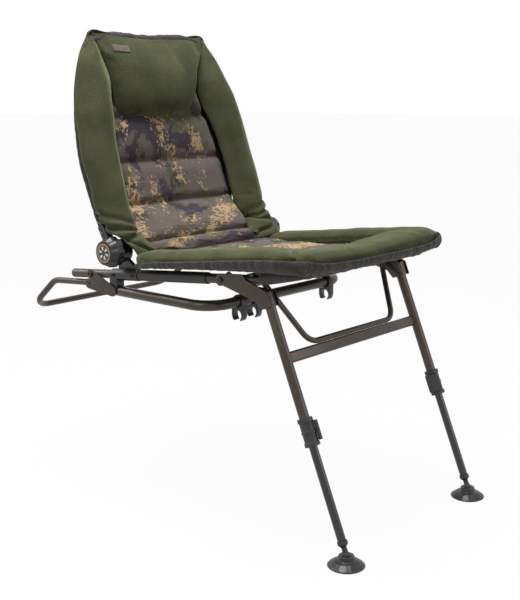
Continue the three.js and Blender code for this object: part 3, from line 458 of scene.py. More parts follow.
# Binding tape along the top of the backrest, and the cloth below it
binding_top = [
    (-0.202, 0.45, 0.641), (-0.199, 0.451, 0.648), (-0.185, 0.451, 0.655), (-0.15, 0.451, 0.651),
    (-0.113, 0.451, 0.647), (-0.082, 0.451, 0.643), (-0.05, 0.451, 0.641), (-0.026, 0.451, 0.636),
    (0, 0.451, 0.636), (0.029, 0.451, 0.638), (0.06, 0.451, 0.64), (0.091, 0.451, 0.64),
    (0.105, 0.451, 0.645), (0.14, 0.451, 0.649), (0.175, 0.451, 0.653), (0.192, 0.451, 0.65),
    (0.202, 0.45, 0.64),
]
binding_width = 0.009
binding_thickness = 0.003
binding_sides = 16
top_cloth_width_share = 0.97
top_cloth_drop = (0.001, -0.028)
top_cloth_columns = 5

# Lacing of the cover to the wings' rear edges: depths and heights
lace_rows = [
    (0.365, 0.274), (0.362, 0.262), (0.359, 0.249), (0.356, 0.232), (0.353, 0.215), (0.348, 0.192),
    (0.342, 0.17),
]
lace_half_width = 0.2655
lace_radius = 0.0011
lace_front = 0.004
lace_rear = 0.012
lace_rise = 0.006
lace_bow = (0.0015, 0.001)

sides = (("right", -1), ("left", 1))
up = Vector((0, 0, 1))
sideways = Vector((1, 0, 0))
behind = Vector((0, 1, 0))


# Places
def rail_point(reach, rise=0.0, x=0.0):
    """A place along the rails from the leg pivot, rear positive, and above them"""
    y = reach * math.cos(rail_pitch) + rise * math.sin(rail_pitch) - leg_pivot_forward
    z = rise * math.cos(rail_pitch) - reach * math.sin(rail_pitch) + leg_pivot_rise
    return Vector((x, y, z))


def leg_point(distance, behind_line=0.0, x=0.0):
    """A place up the leg from the ground and behind the leg line"""
    along = distance - leg_pivot_up
    aside = behind_line - leg_offset
    y = along * math.sin(leg_slant) + aside * math.cos(leg_slant) - leg_pivot_forward
    z = along * math.cos(leg_slant) - aside * math.sin(leg_slant) + leg_pivot_rise
    return Vector((x, y, z))


hub_axis = rail_point(hub_reach, hub_rise)
leg_direction = Vector((0, math.sin(leg_slant), math.cos(leg_slant)))
ground = leg_point(0).z


def back_point(depth_share, rise_share, x=0.0):
    """A place behind and above the hub axis, in shares of the backrest's depth and height"""
    return Vector((x, hub_axis.y + depth_share * back_depth, hub_axis.z + rise_share * back_rise))


def beside(side, x, place):
    """A place moved to a distance from the middle plane, on one side"""
    return Vector((side * x, place.y, place.z))


def add_object(name, data):
    made = bpy.data.objects.new(name, data)
    bpy.context.scene.collection.objects.link(made)
    return made


def facing_turn(direction):
    return direction.to_track_quat("Z", "Y").to_euler()


def add_camera():
    data = bpy.data.cameras.new("camera")
    data.lens = camera_lens
    data.sensor_width = camera_sensor
    camera = add_object("camera", data)
    camera.location = camera_place
    camera.rotation_euler = facing_turn(camera_back)
    bpy.context.scene.camera = camera


# Shader nodes
def connect(tree, made, inputs):
    """Sets a node's inputs to values, or links them to other nodes' outputs"""
    for key, value in inputs.items():
        if isinstance(value, bpy.types.NodeSocket):
            tree.links.new(value, made.inputs[key])
        else:
            made.inputs[key].default_value = value


def node(tree, kind, inputs=None, **settings):
    made = tree.nodes.new(kind)
    for key, value in settings.items():
        setattr(made, key, value)
    connect(tree, made, inputs or {})
    return made


def blank_material(name):
    material = bpy.data.materials.new(name)
    material.use_nodes = True
    tree = material.node_tree
    return material, tree, tree.nodes["Principled BSDF"]


def linear(red, green, blue):
    """A colour for a shader from the 0 to 255 values that it has on screen"""
    def one(value):
        share = value / 255
        return share / 12.92 if share <= 0.04045 else ((share + 0.055) / 1.055) ** 2.4
    return (one(red), one(green), one(blue), 1)


def shaded(colour, factor, added=0.0):
    return tuple(min(1, factor * value + added) for value in colour[:3]) + (1,)


def mapped(tree, source="Object", scale=(1, 1, 1)):
    coordinate = node(tree, "ShaderNodeTexCoord")
    inputs = {"Vector": coordinate.outputs[source], "Scale": scale}
    return node(tree, "ShaderNodeMapping", inputs).outputs["Vector"]


def cloudy(tree, place, scale, detail=2, **more):
    """Noise with so many waves per metre"""
    inputs = {"Vector": place, "Scale": scale, "Detail": detail, **more}
    return node(tree, "ShaderNodeTexNoise", inputs).outputs["Fac"]


def mixed(tree, share, first, second):
    """A colour between two, by a share"""
    mix = node(tree, "ShaderNodeMix", {0: share, 6: first, 7: second}, data_type="RGBA")
    return mix.outputs[2]


def stepped(tree, value, low, high):
    """A number that goes from 0 to 1 as another goes from low to high"""
    inputs = {"Value": value, "From Min": low, "From Max": high}
    spread = node(tree, "ShaderNodeMapRange", inputs, interpolation_type="SMOOTHSTEP")
    return spread.outputs["Result"]


def ranged(tree, value, low, high):
    """A number from 0 to 1 spread between two others"""
    inputs = {"Value": value, "To Min": low, "To Max": high}
    return node(tree, "ShaderNodeMapRange", inputs).outputs["Result"]


def maths(tree, kind, first, second=0.0):
    made = node(tree, "ShaderNodeMath", {0: first, 1: second}, operation=kind)
    return made.outputs["Value"]


def product(tree, first, second):
    return maths(tree, "MULTIPLY", first, second)


def total(tree, first, second):
    return maths(tree, "ADD", first, second)


def rubbed_edges(tree, low, high):
    return stepped(tree, node(tree, "ShaderNodeNewGeometry").outputs["Pointiness"], low, high)


def bumped(tree, height, strength, depth):
    inputs = {"Height": height, "Strength": strength, "Distance": depth}
    return node(tree, "ShaderNodeBump", inputs).outputs["Normal"]


# Finishes: each is a material and the slot that it stands for; its colours are given as on screen
def coated_metal(name, slot, colour, worn, roughness, metallic, coat=0.0):
    """Painted tube: a fine orange-peel skin, faint cloudiness and light wear on its edges"""
    material, tree, shader = blank_material(name)
    colour, worn = linear(*colour), linear(*worn)
    place = mapped(tree)
    tone = stepped(tree, cloudy(tree, place, coat_cloud_waves, 5, Roughness=0.6), 0.35, 0.7)
    scratches = stepped(tree, cloudy(tree, place, coat_scratch_waves, 3), 0.42, 0.62)
    wear = product(tree, rubbed_edges(tree, 0.53, 0.6), scratches)
    grain = cloudy(tree, place, coat_grain_waves)
    connect(tree, shader, {
        "Base Color": mixed(tree, wear, mixed(tree, tone, colour, shaded(colour, 0.82)), worn),
        "Roughness": ranged(tree, grain, roughness - 0.06, roughness + 0.08),
        "Normal": bumped(tree, grain, 0.25, grain_depth),
        "Metallic": metallic,
        "Coat Weight": coat,
        "Coat Roughness": 0.12,
    })
    return material, slot


def moulded(name, slot, colour, roughness):
    """Moulded plastic: a spark-eroded grain, faint flow marks and rubbed corners"""
    material, tree, shader = blank_material(name)
    colour = linear(*colour)
    place = mapped(tree)
    flow = cloudy(tree, place, mould_flow_waves, 4, Distortion=1.5)
    lighter = shaded(colour, 1.7, 0.006)
    body = mixed(tree, stepped(tree, flow, 0.4, 0.75), colour, lighter)
    connect(tree, shader, {
        "Base Color": mixed(tree, rubbed_edges(tree, 0.52, 0.62), body, lighter),
        "Roughness": ranged(tree, flow, roughness - 0.05, roughness + 0.08),
        "Normal": bumped(tree, cloudy(tree, place, mould_grain_waves), 0.3, grain_depth),
    })
    return material, slot


def bolt_steel():
    """Blackened steel with bright turning marks"""
    material, tree, shader = blank_material("bolt_steel")
    marks = cloudy(tree, mapped(tree), turning_mark_waves, 3)
    connect(tree, shader, {
        "Base Color": mixed(tree, stepped(tree, marks, 0.4, 0.7), linear(44, 42, 41), linear(92, 90, 88)),
        "Roughness": ranged(tree, marks, 0.28, 0.5),
        "Metallic": 0.85,
    })
    return material, "bolt_steel"


def weave_height(tree, place, pitch, slant=0.0):
    """Threads over and under each other at a pitch: a height from 0 to 1"""
    slanted = node(tree, "ShaderNodeMapping", {"Vector": place, "Rotation": (0, 0, slant)})
    parts = node(tree, "ShaderNodeSeparateXYZ", {"Vector": slanted.outputs["Vector"]})
    waves = []
    for axis in ("X", "Y"):
        waves.append(maths(tree, "SINE", product(tree, parts.outputs[axis], 2 * math.pi / pitch)))
    return stepped(tree, product(tree, *waves), -1, 1)


def mesh_fabric(name, slot, light, dark, fuzz):
    """Spacer mesh: rows of small cells with painted shade in their holes, a fuzzy sheen and slow changes of
    tone
    """
    material, tree, shader = blank_material(name)
    light, dark, fuzz = linear(*light), linear(*dark), linear(*fuzz)
    place = mapped(tree, "UV")
    cells = weave_height(tree, place, mesh_pitch, mesh_slant)
    threads = weave_height(tree, place, mesh_pitch / 4)
    body = mixed(tree, stepped(tree, cloudy(tree, place, mesh_tone_waves, 4), 0.3, 0.75), dark, light)
    # The cells' holes are painted darker: painted shade in the mesh's recesses
    hole_painted_shade = product(tree, stepped(tree, cells, 0.7, 0.15), 0.55)
    body = mixed(tree, hole_painted_shade, body, shaded(dark, 0.6))
    lint = product(tree, stepped(tree, cloudy(tree, place, mesh_lint_waves, 3), 0.5, 0.8), 0.3)
    height = total(tree, product(tree, cells, 0.8), product(tree, threads, 0.2))
    connect(tree, shader, {
        "Base Color": mixed(tree, lint, body, fuzz),
        "Normal": bumped(tree, height, 0.5, mesh_depth),
        "Roughness": 0.95,
        "Sheen Weight": 0.55,
        "Sheen Roughness": 0.35,
        "Sheen Tint": fuzz,
        "Specular IOR Level": 0.15,
    })
    return material, slot


def plain_cloth(name, slot, light, dark, pitch, source="UV", sheen=0.15, specular=0.25):
    """Plain woven cloth with slubs in its threads and faint rubbing"""
    material, tree, shader = blank_material(name)
    light, dark = linear(*light), linear(*dark)
    place = mapped(tree, source)
    threads = weave_height(tree, place, pitch)
    slubs = cloudy(tree, mapped(tree, source, slub_waves), 1, 3)
    rubbed = product(tree, stepped(tree, cloudy(tree, place, rubbing_waves, 5), 0.4, 0.8), 0.5)
    body = mixed(tree, stepped(tree, slubs, 0.35, 0.7), dark, light)
    height = total(tree, product(tree, threads, 0.7), product(tree, slubs, 0.3))
    connect(tree, shader, {
        "Base Color": mixed(tree, rubbed, body, dark),
        "Normal": bumped(tree, height, 0.5, weave_depth),
        "Roughness": 0.85,
        "Sheen Weight": sheen,
        "Specular IOR Level": specular,
    })
    return material, slot


def splotches(tree, place, scale, distortion, low, high, seed, raggedness):
    """Ragged patches: broad shapes whose edges are broken by finer noise"""
    inputs = {"Vector": place, "Location": (seed, seed * 0.7, seed * 0.3)}
    offset = node(tree, "ShaderNodeMapping", inputs).outputs["Vector"]
    broad = cloudy(tree, offset, scale, 2, Distortion=distortion)
    fine = cloudy(tree, offset, scale * 9, 6, Roughness=0.75)
    rough = product(tree, maths(tree, "SUBTRACT", fine, 0.5), raggedness)
    return stepped(tree, total(tree, broad, rough), low, high)


def camouflage(name, slot):
    """Printed weave in brown-grey, olive, dark purple-brown and tan, in a generic layout"""
    material, tree, shader = blank_material(name)
    place = mapped(tree, "UV")
    body = linear(90, 81, 75)
    for colour, pattern in camouflage_patches:
        body = mixed(tree, splotches(tree, place, *pattern), body, linear(*colour))
    faded = product(tree, stepped(tree, cloudy(tree, place, fading_waves, 4), 0.4, 0.75), 0.22)
    connect(tree, shader, {
        "Base Color": mixed(tree, faded, body, linear(60, 54, 50)),
        "Normal": bumped(tree, weave_height(tree, place, cloth_pitch), 0.5, weave_depth),
        "Roughness": 0.8,
        "Sheen Weight": 0.12,
        "Specular IOR Level": 0.3,
    })
    return material, slot


def dial_face():
    """The knob's printed ring and plain spoked face"""
    material, tree, shader = blank_material("dial_face")
    place = mapped(tree)
    parts = node(tree, "ShaderNodeSeparateXYZ", {"Vector": place})
    across = maths(tree, "SUBTRACT", parts.outputs["Y"], hub_axis.y)
    rise = maths(tree, "SUBTRACT", parts.outputs["Z"], hub_axis.z)
    both = total(tree, product(tree, across, across), product(tree, rise, rise))
    radius = maths(tree, "SQRT", both)
    angle = maths(tree, "ARCTAN2", rise, across)

    def rays(count, low, high):
        return stepped(tree, maths(tree, "SINE", product(tree, angle, count)), low, high)

    def between(edges):
        return product(tree, stepped(tree, radius, *edges[0]), stepped(tree, radius, *edges[1]))

    spokes = product(tree, rays(6, 0.1, 0.3), stepped(tree, radius, *dial_spoke_edge))
    ticks = product(tree, between(dial_band_edges), rays(36, 0.2, 0.5))
    body = mixed(tree, spokes, linear(20, 19, 20), linear(205, 204, 200))
    body = mixed(tree, stepped(tree, radius, *dial_dot_edge), body, linear(18, 18, 19))
    body = mixed(tree, between(dial_ring_edges), body, linear(176, 132, 42))
    connect(tree, shader, {
        "Base Color": mixed(tree, ticks, body, linear(150, 146, 138)),
        "Normal": bumped(tree, cloudy(tree, place, dial_grain_waves), 0.15, grain_depth),
        "Roughness": 0.35,
    })
    return material, "dial_plastic"


bronze = coated_metal("bronze_coat", "bronze_coat", (70, 62, 55), (108, 98, 88), 0.3, 0.6)
sleeve_finish = coated_metal("sleeve_coat", "bronze_sleeve", (32, 26, 25), (60, 52, 48), 0.44, 0.1)
gloss_black = coated_metal("gloss_black_coat", "gloss_black_coat", (17, 17, 20), (46, 46, 50),
                           0.2, 0.4, 0.6)
black_plastic = moulded("black_plastic", "black_plastic", (17, 15, 17), 0.36)
lock_plastic = moulded("lock_plastic", "black_plastic", (34, 32, 35), 0.46)
steel = bolt_steel()
dial_print = dial_face()
green_mesh = mesh_fabric("green_mesh", "green_mesh", (79, 80, 57), (57, 58, 41), (178, 190, 144))
camouflage_print = camouflage("camouflage_print", "camouflage_fabric")
rim_cloth = plain_cloth("rim_cloth", "camouflage_fabric", (58, 52, 47), (38, 33, 31),
                        coarse_pitch, "Object")
skirt_cloth = plain_cloth("skirt_cloth", "dark_fabric", (70, 66, 60), (46, 43, 40),
                          cloth_pitch, "UV", 0.12)
pocket_fabric = plain_cloth("pocket_fabric", "dark_fabric", (62, 58, 57), (42, 39, 39),
                            coarse_pitch, "Object", 0.1, 0.5)
binding_cloth = plain_cloth("binding_cloth", "dark_fabric", (62, 52, 42), (42, 34, 29),
                            coarse_pitch, "Object")
tag_cloth = plain_cloth("tag_cloth", "dark_fabric", (104, 90, 78), (82, 70, 61), fine_pitch)
# The lacing cords are real, but their light grey colour is a painted highlight standing for the glints on
# them
lace_cord_painted_glint = plain_cloth("lace_cord_painted_glint", "dark_fabric", (176, 170, 160), (130, 124, 116),
                        fine_pitch, "Object")


# Shapes: lists of points and of faces
def joined(shapes):
    points, faces = [], []
    for shape_points, shape_faces in shapes:
        start = len(points)
        points.extend(shape_points)
        faces.extend([tuple(start + index for index in face) for face in shape_faces])
    return points, faces


def bridged(first, second):
    """Faces between two rings, either of which may be a single point"""
    count = max(len(first), len(second))
    following = [(k + 1) % count for k in range(count)]
    if len(first) == 1:
        return [(first[0], second[k], second[after]) for k, after in enumerate(following)]
    if len(second) == 1:
        return [(second[0], first[after], first[k]) for k, after in enumerate(following)]
    return [(first[k], first[after], second[after], second[k]) for k, after in enumerate(following)]


def stacked(rings, looped=False):
    """A shape from rings of points laid one after another"""
    points, indices, faces = [], [], []
    for ring in rings:
        indices.append(list(range(len(points), len(points) + len(ring))))
        points.extend(ring)
    following = indices[1:] + ([indices[0]] if looped else [])
    for first, second in zip(indices, following):
        faces.extend(bridged(first, second))
    return points, faces


def bent(corners, radius):
    """A path whose inner corners are bent to a radius"""
    path = [corners[0].copy()]
    for before, corner, after in zip(corners, corners[1:], corners[2:]):
        inward = (before - corner).normalized()
        outward = (after - corner).normalized()
        half = inward.angle(outward) / 2
        centre = corner + (inward + outward).normalized() * (radius / math.sin(half))
        start = corner + inward * (radius / math.tan(half)) - centre
        axis = (-inward).cross(outward).normalized()
        turn = math.pi - 2 * half
        for step in range(bend_steps + 1):
            path.append(Matrix.Rotation(turn * step / bend_steps, 3, axis) @ start + centre)
    path.append(corners[-1].copy())
    return path


def resampled(path, spacing):
    """A path with extra points so that none of its steps is longer than a spacing"""
    points = [path[0]]
    for start, end in zip(path, path[1:]):
        count = max(1, math.ceil((end - start).length / spacing))
        points.extend([start.lerp(end, step / count) for step in range(1, count + 1)])
    return points


def blended(start, start_speed, end, end_speed, t):
    """A number or place between two, which leaves and arrives at given speeds"""
    return start * (2 * t ** 3 - 3 * t * t + 1) + start_speed * (t ** 3 - 2 * t * t + t) \
        + end * (3 * t * t - 2 * t ** 3) + end_speed * (t ** 3 - t * t)


def spline(table, share):
    """A table of numbers or places read smoothly at a share of its length"""
    position = share * (len(table) - 1)
    start = min(int(position), len(table) - 2)
    p0 = table[max(start - 1, 0)]
    p1, p2 = table[start], table[start + 1]
    p3 = table[min(start + 2, len(table) - 1)]
    return blended(p1, (p2 - p0) * 0.5, p2, (p3 - p1) * 0.5, position - start)


def centripetal(places, steps):
    """A smooth path through places, with even-tempered bends"""
    padded_places = [places[0] * 2 - places[1], *places, places[-1] * 2 - places[-2]]
    path = []
    for i in range(1, len(padded_places) - 2):
        p0, p1, p2, p3 = padded_places[i - 1:i + 3]
        d0, d1, d2 = (math.sqrt((b - a).length) for a, b in ((p0, p1), (p1, p2), (p2, p3)))
        v0 = ((p1 - p0) / d0 - (p2 - p0) / (d0 + d1) + (p2 - p1) / d1) * d1
        v1 = ((p2 - p1) / d1 - (p3 - p1) / (d1 + d2) + (p3 - p2) / d2) * d1
        path.extend([blended(p1, v0, p2, v1, step / steps) for step in range(steps)])
    path.append(places[-1].copy())
    return path


def lengths_along(path):
    lengths = [0.0]
    for first, second in zip(path, path[1:]):
        lengths.append(lengths[-1] + (second - first).length)
    return lengths


def mirrored_on(half):
    """A path or list from one side to the middle plane, and its mirror image back"""
    return half + [Vector((-place.x, place.y, place.z)) for place in reversed(half[:-1])]


def carried_frames(path, level=up):
    """A place, aside and upward direction at each point of a path, without twist"""
    frames = []
    last = len(path) - 1
    normal = None
    for i, place in enumerate(path):
        tangent = (path[min(i + 1, last)] - path[max(i - 1, 0)]).normalized()
        if normal is None:
            normal = sideways if abs(tangent.dot(level)) > 0.95 else level
        normal = (normal - tangent * normal.dot(tangent)).normalized()
        frames.append((place, tangent.cross(normal), normal))
    return frames


def ring_at(station, width, height=None, count=round_sides):
    """A ring round a station, which is round unless it is given a height too"""
    place, aside, normal = station
    height = width if height is None else height
    ring = []
    for k in range(count):
        angle = 2 * math.pi * k / count
        ring.append(place + aside * (width * math.cos(angle)) + normal * (height * math.sin(angle)))
    return ring


def with_lips(path, size):
    """A path with one more point close to each of its ends"""
    start = path[0] + (path[1] - path[0]).normalized() * size
    end = path[-1] + (path[-2] - path[-1]).normalized() * size
    return [path[0], start, *path[1:-1], end, path[-1]]


def tube(path, outer, inner=0.0, edge=lip, count=round_sides):
    """A tube or rod along a path, with its end edges eased"""
    stations = carried_frames(with_lips(path, edge))
    last = len(stations) - 1
    rings = []
    for i, station in enumerate(stations):
        radius = outer - edge if i in (0, last) else outer
        rings.append(ring_at(station, radius, count=count))
    if inner > 0:
        rings.extend(ring_at(station, inner, count=count) for station in reversed(stations))
        return stacked(rings, looped=True)
    return stacked([[stations[0][0]], *rings, [stations[last][0]]])


def straight(first, second, outer, inner=0.0, edge=lip, count=round_sides):
    return tube([first, first.lerp(second, 0.5), second], outer, inner, edge, count)


def rail_tube(side, start, end, outer, edge=lip):
    """A tube round a rail, with the fit's clearance inside"""
    ends = [rail_point(reach, 0, side * half_rail) for reach in (start, end)]
    return straight(*ends, outer, rail_radius + fit_gap, edge)


def leg_tube(side, start, end, outer, inner):
    ends = [leg_point(distance, 0, side * half_rail) for distance in (start, end)]
    return straight(*ends, outer, inner)


def cross_rod(side, near, far, place, radius, edge=plate_edge, count=round_sides):
    return straight(beside(side, near, place), beside(side, far, place), radius, 0, edge, count)


def eased(profile, size, steps=3):
    """A half profile with its corners rounded"""
    corners = [Vector(corner) for corner in profile]
    points = [corners[0]]
    for before, corner, after in zip(corners, corners[1:], corners[2:]):
        reach = min(size, (before - corner).length / 2.2, (after - corner).length / 2.2)
        start = corner + (before - corner).normalized() * reach
        end = corner + (after - corner).normalized() * reach
        for step in range(steps + 1):
            t = step / steps
            points.append(start * (1 - t) ** 2 + corner * (2 * t * (1 - t)) + end * (t * t))
    points.append(corners[-1])
    return points


def turned(profile, count=round_sides, scale=None):
    """A piece turned on the Z axis from its half profile"""
    rings = []
    for radius, height in profile:
        if radius < lip / 10:
            rings.append([Vector((0, 0, height))])
            continue
        ring = []
        for k in range(count):
            angle = 2 * math.pi * k / count
            size = radius * scale(radius, height, angle) if scale else radius
            ring.append(Vector((size * math.cos(angle), size * math.sin(angle), height)))
        rings.append(ring)
    return stacked(rings)


def placed(shape, place, direction):
    """A shape made on the Z axis, stood on a place and pointed along a direction"""
    turn = up.rotation_difference(direction).to_matrix()
    return [turn @ point + place for point in shape[0]], shape[1]


def arc(centre, radius, start, end, steps=bend_steps):
    places = []
    for i in range(steps + 1):
        angle = start + (end - start) * i / steps
        places.append(centre + Vector((0, radius * math.cos(angle), radius * math.sin(angle))))
    return places


def strap(first, second, radius):
    """The outline of a strap with round ends round two places in the middle plane"""
    angle = math.atan2(second.z - first.z, second.y - first.y)
    return arc(first, radius, angle + quarter, angle + 3 * quarter) \
        + arc(second, radius, angle - quarter, angle + quarter)


def eased_outline(outline, size):
    """A closed outline in the middle plane with its corners rounded"""
    flat = [(place.y, place.z) for place in outline]
    rounded = eased([flat[-1], *flat, flat[0]], size, 4)[1:-1]
    return [Vector((0, y, z)) for y, z in rounded]


def edges_eased(made, edges, size, **more):
    bmesh.ops.bevel(made, geom=edges, offset=size, segments=2, profile=0.6, affect="EDGES", **more)


def shape_of(made):
    """The points and faces of a working mesh, which is then dropped"""
    made.verts.index_update()
    points = [vertex.co.copy() for vertex in made.verts]
    faces = [tuple(vertex.index for vertex in face.verts) for face in made.faces]
    made.free()
    return points, faces


def plate(side, near, far, outline, edge=plate_edge):
    """A flat plate across X from an outline of places in the middle plane, with eased edges"""
    made = bmesh.new()
    corners = [made.verts.new(beside(side, near, place)) for place in outline]
    bmesh.ops.remove_doubles(made, verts=corners, dist=lip / 20)
    face = made.faces.new(made.verts)
    extruded = bmesh.ops.extrude_face_region(made, geom=[face])
    moved = [item for item in extruded["geom"] if isinstance(item, bmesh.types.BMVert)]
    bmesh.ops.translate(made, verts=moved, vec=(side * (far - near), 0, 0))
    rims = [item for item in made.edges if abs(item.verts[0].co.x - item.verts[1].co.x) < lip / 20]
    edges_eased(made, rims, edge)
    return shape_of(made)


# Pieces
def mesh_object(name, points, faces, material, corners=()):
    """A smooth mesh; corners give the place of each face corner on its cloth, in metres"""
    mesh = bpy.data.meshes.new(name)
    mesh.from_pydata(points, [], faces)
    if corners:
        layer = mesh.uv_layers.new(name="weave")
        for loop, corner in zip(layer.data, corners):
            loop.uv = corner
    made = bmesh.new()
    made.from_mesh(mesh)
    bmesh.ops.recalc_face_normals(made, faces=made.faces)
    made.to_mesh(mesh)
    made.free()
    mesh.materials.append(material)
    mesh.shade_smooth()
    return add_object(name, mesh)


def attach(piece, body, slot, *nodes):
    """Makes a piece ride on a body, or across the recline hinge where no body is given"""
    if body:
        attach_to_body(piece, body)
    else:
        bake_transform(piece)
    if nodes:
        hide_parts(*nodes)


def add_piece(name, shapes, finish, body, *nodes):
    """A hard piece that rides on a body and stands for solids"""
    material, slot = finish
    piece = mesh_object(name, *joined(shapes), material)
    piece.data.set_sharp_from_angle(angle=sharp_angle)
    attach(piece, body, slot, *nodes)


def refined(name, node_name, finish, body, edge=plate_edge):
    """A solid's own form with flat faces whole, its edges eased and its curves shaded smooth"""
    made = bmesh.new()
    made.from_mesh(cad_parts[node_name].data)
    bmesh.ops.remove_doubles(made, verts=made.verts, dist=lip / 40)
    bmesh.ops.dissolve_limit(made, angle_limit=flat_angle, verts=made.verts, edges=made.edges)
    corners = [item for item in made.edges if item.calc_face_angle(0) > sharp_angle]
    edges_eased(made, corners, edge, clamp_overlap=True)
    add_piece(name, [shape_of(made)], finish, body, node_name)


# Seat frame
def rail_kick(x):
    return rail_point(-rail_kick_reach, 0, x)


def rail_corner(x):
    return rail_point(-rail_front_reach, rail_front_rise, x)


def add_seat_frame():
    half = [rail_point(rail_rear_reach, 0, -half_rail), rail_kick(-half_rail), rail_corner(-half_rail)]
    corners = half + [beside(-1, place.x, place) for place in reversed(half)]
    frame_tube = tube(bent(corners, seat_corner_radius), rail_radius, rail_radius - tube_wall)
    add_piece("seat_tube", [frame_tube], bronze, "seat", "seat_frame")
    for name, side in sides:
        sleeve = rail_tube(side, sleeve_start, sleeve_end, sleeve_radius)
        add_piece(f"sleeve_grip_{name}", [sleeve], sleeve_finish, "seat", f"rail_sleeve_{name}")


# Leg brackets
outer_cheek = half_rail + collar_radius - cheek_lap
inner_cheek = half_rail - collar_radius + cheek_lap


def bracket_lower_edge():
    return [
        leg_point(collar_top, -collar_radius),
        leg_point(collar_bottom, -collar_radius),
        leg_point(collar_bottom, collar_radius),
        leg_point(collar_top - bracket_nose, collar_radius + bracket_nose),
        *arc(rail_point(0), bracket_cheek_radius, -4 * quarter / 3, quarter - rail_pitch, 2 * bend_steps),
    ]


def cap_screw(side, start, place, radius, height):
    """A screw's head with a socket sunk in it"""
    socket = radius * screw_socket_share
    floor = height * screw_floor_share
    profile = eased([
        (0, 0),
        (radius, 0),
        (radius, height),
        (socket * screw_chamfer_share, height),
        (socket, height * screw_rim_share),
        (socket, floor),
        (0, floor),
    ], radius / 8)
    return placed(turned(profile), beside(side, start, place), sideways * side)


def rail_bolt(side, reach, inner, outer):
    """A bolt across a rail with a sunk head outside and a nut inside"""
    place = rail_point(reach)
    head_start = outer + bolt_head_height / 5
    return [
        cross_rod(side, inner, outer, place, bolt_shank_radius),
        cross_rod(side, outer, head_start, place, bolt_head_radius),
        cross_rod(side, inner - bolt_head_height, inner, place, bolt_head_radius, plate_edge, nut_sides),
        cap_screw(side, head_start, place, bolt_head_radius * cap_width_share,
                  bolt_head_height * cap_height_share),
    ]


def add_leg_brackets():
    outer_outline = eased_outline([
        rail_point(-bracket_reach, bracket_cheek_radius),
        rail_point(-bracket_reach - bracket_nose, 0),
        *bracket_lower_edge(),
    ], bracket_plate)
    inner_outline = eased_outline([
        rail_point(-inner_cheek_reach, -inner_cheek_radius),
        *bracket_lower_edge(),
    ], bracket_plate)
    bore = upper_leg_radius + fit_gap
    ring_top = collar_bottom + collar_ring_height
    for name, side in sides:
        shapes = [
            leg_tube(side, collar_bottom, collar_top, collar_radius, bore),
            leg_tube(side, collar_bottom, ring_top, collar_radius + collar_ring, bore),
            plate(side, outer_cheek, outer_cheek + bracket_plate, outer_outline),
            plate(side, inner_cheek - bracket_plate, inner_cheek, inner_outline),
        ]
        add_piece(f"bracket_{name}", shapes, bronze, "leg_frame", f"leg_bracket_{name}")
        inner_end = inner_cheek - bracket_plate - fit_gap
        bolt = rail_bolt(side, 0, inner_end, outer_cheek + bracket_plate + fit_gap)
        add_piece(f"pivot_bolt_{name}", bolt, steel, "seat", f"leg_pivot_bolt_{name}")


def add_legs():
    for name, side in sides:
        upper = leg_tube(side, upper_leg_bottom, upper_leg_top, upper_leg_radius,
                         upper_leg_radius - tube_wall)
        lower = leg_tube(side, lower_leg_bottom, lower_leg_top, lower_leg_radius,
                         lower_leg_radius - tube_wall)
        add_piece(f"leg_outer_{name}", [upper], bronze, "leg_frame", f"upper_leg_{name}")
        add_piece(f"leg_inner_{name}", [lower], gloss_black, f"lower_leg_{name}", f"lower_leg_{name}")
    end_radius = crossbar_thickness / 2
    half_straight = crossbar_height / 2 - end_radius
    ends = [leg_point(crossbar_up + along) for along in (-half_straight, half_straight)]
    reach = half_rail - upper_leg_radius - fit_gap
    crossbar = plate(1, -reach, reach, strap(*ends, end_radius), plate_edge / 3)
    add_piece("crossbar_oval", [crossbar], bronze, "leg_frame", "leg_crossbar")


def add_leg_brace():
    top_x = inner_cheek - bracket_plate - 2 * fit_gap - brace_radius
    level = crossbar_up + crossbar_height / 2 + fit_gap + brace_radius
    corners = [
        rail_point(-brace_clip_reach, 0, -top_x),
        leg_point(level, 0, -brace_corner_half_width),
        leg_point(level, 0, brace_corner_half_width),
        rail_point(-brace_clip_reach, 0, top_x),
    ]
    brace = tube(bent(corners, brace_bend_radius), brace_radius, 0, lip, round_sides // 2)
    add_piece("brace_tube", [brace], bronze, "leg_frame", "leg_brace")
    for name, _ in sides:
        refined(f"brace_catch_{name}", f"brace_clip_{name}", black_plastic, "seat")


# Leg locks, ankles and feet
def wave(count, angle):
    """A number that goes from 0 to 1 and back so many times in a turn"""
    return 0.5 - 0.5 * math.cos(count * angle)


def add_leg_locks():
    length = lock_top - lock_bottom
    middle = length / 2
    bead = lock_bead_height / 2
    bore = upper_leg_radius + fit_gap
    profile = eased([
        (bore, 0),
        (lock_flange_radius, 0),
        (lock_flange_radius, lock_flange),
        (lock_waist_radius, lock_flange),
        (lock_waist_radius, middle - bead),
        (lock_bead_radius, middle - bead),
        (lock_bead_radius, middle + bead),
        (lock_waist_radius, middle + bead),
        (lock_waist_radius, length - lock_flange),
        (lock_flange_radius, length - lock_flange),
        (lock_flange_radius, length),
        (bore, length),
    ], lip)

    def ribbed(radius, height, angle):
        on_flange = height < lock_flange or height > length - lock_flange
        deep = lock_rib_share if on_flange and radius > lock_waist_radius else 0
        return 1 - deep * wave(lock_ribs, angle) ** 2

    for name, side in sides:
        place = leg_point(lock_bottom, 0, side * half_rail)
        collar = placed(turned(profile, 4 * lock_ribs, ribbed), place, leg_direction)
        add_piece(f"lock_collar_{name}", [collar], lock_plastic, "leg_frame", f"leg_lock_{name}")
        refined(f"lock_paddle_{name}", f"lock_lever_{name}", lock_plastic, f"lock_lever_{name}")


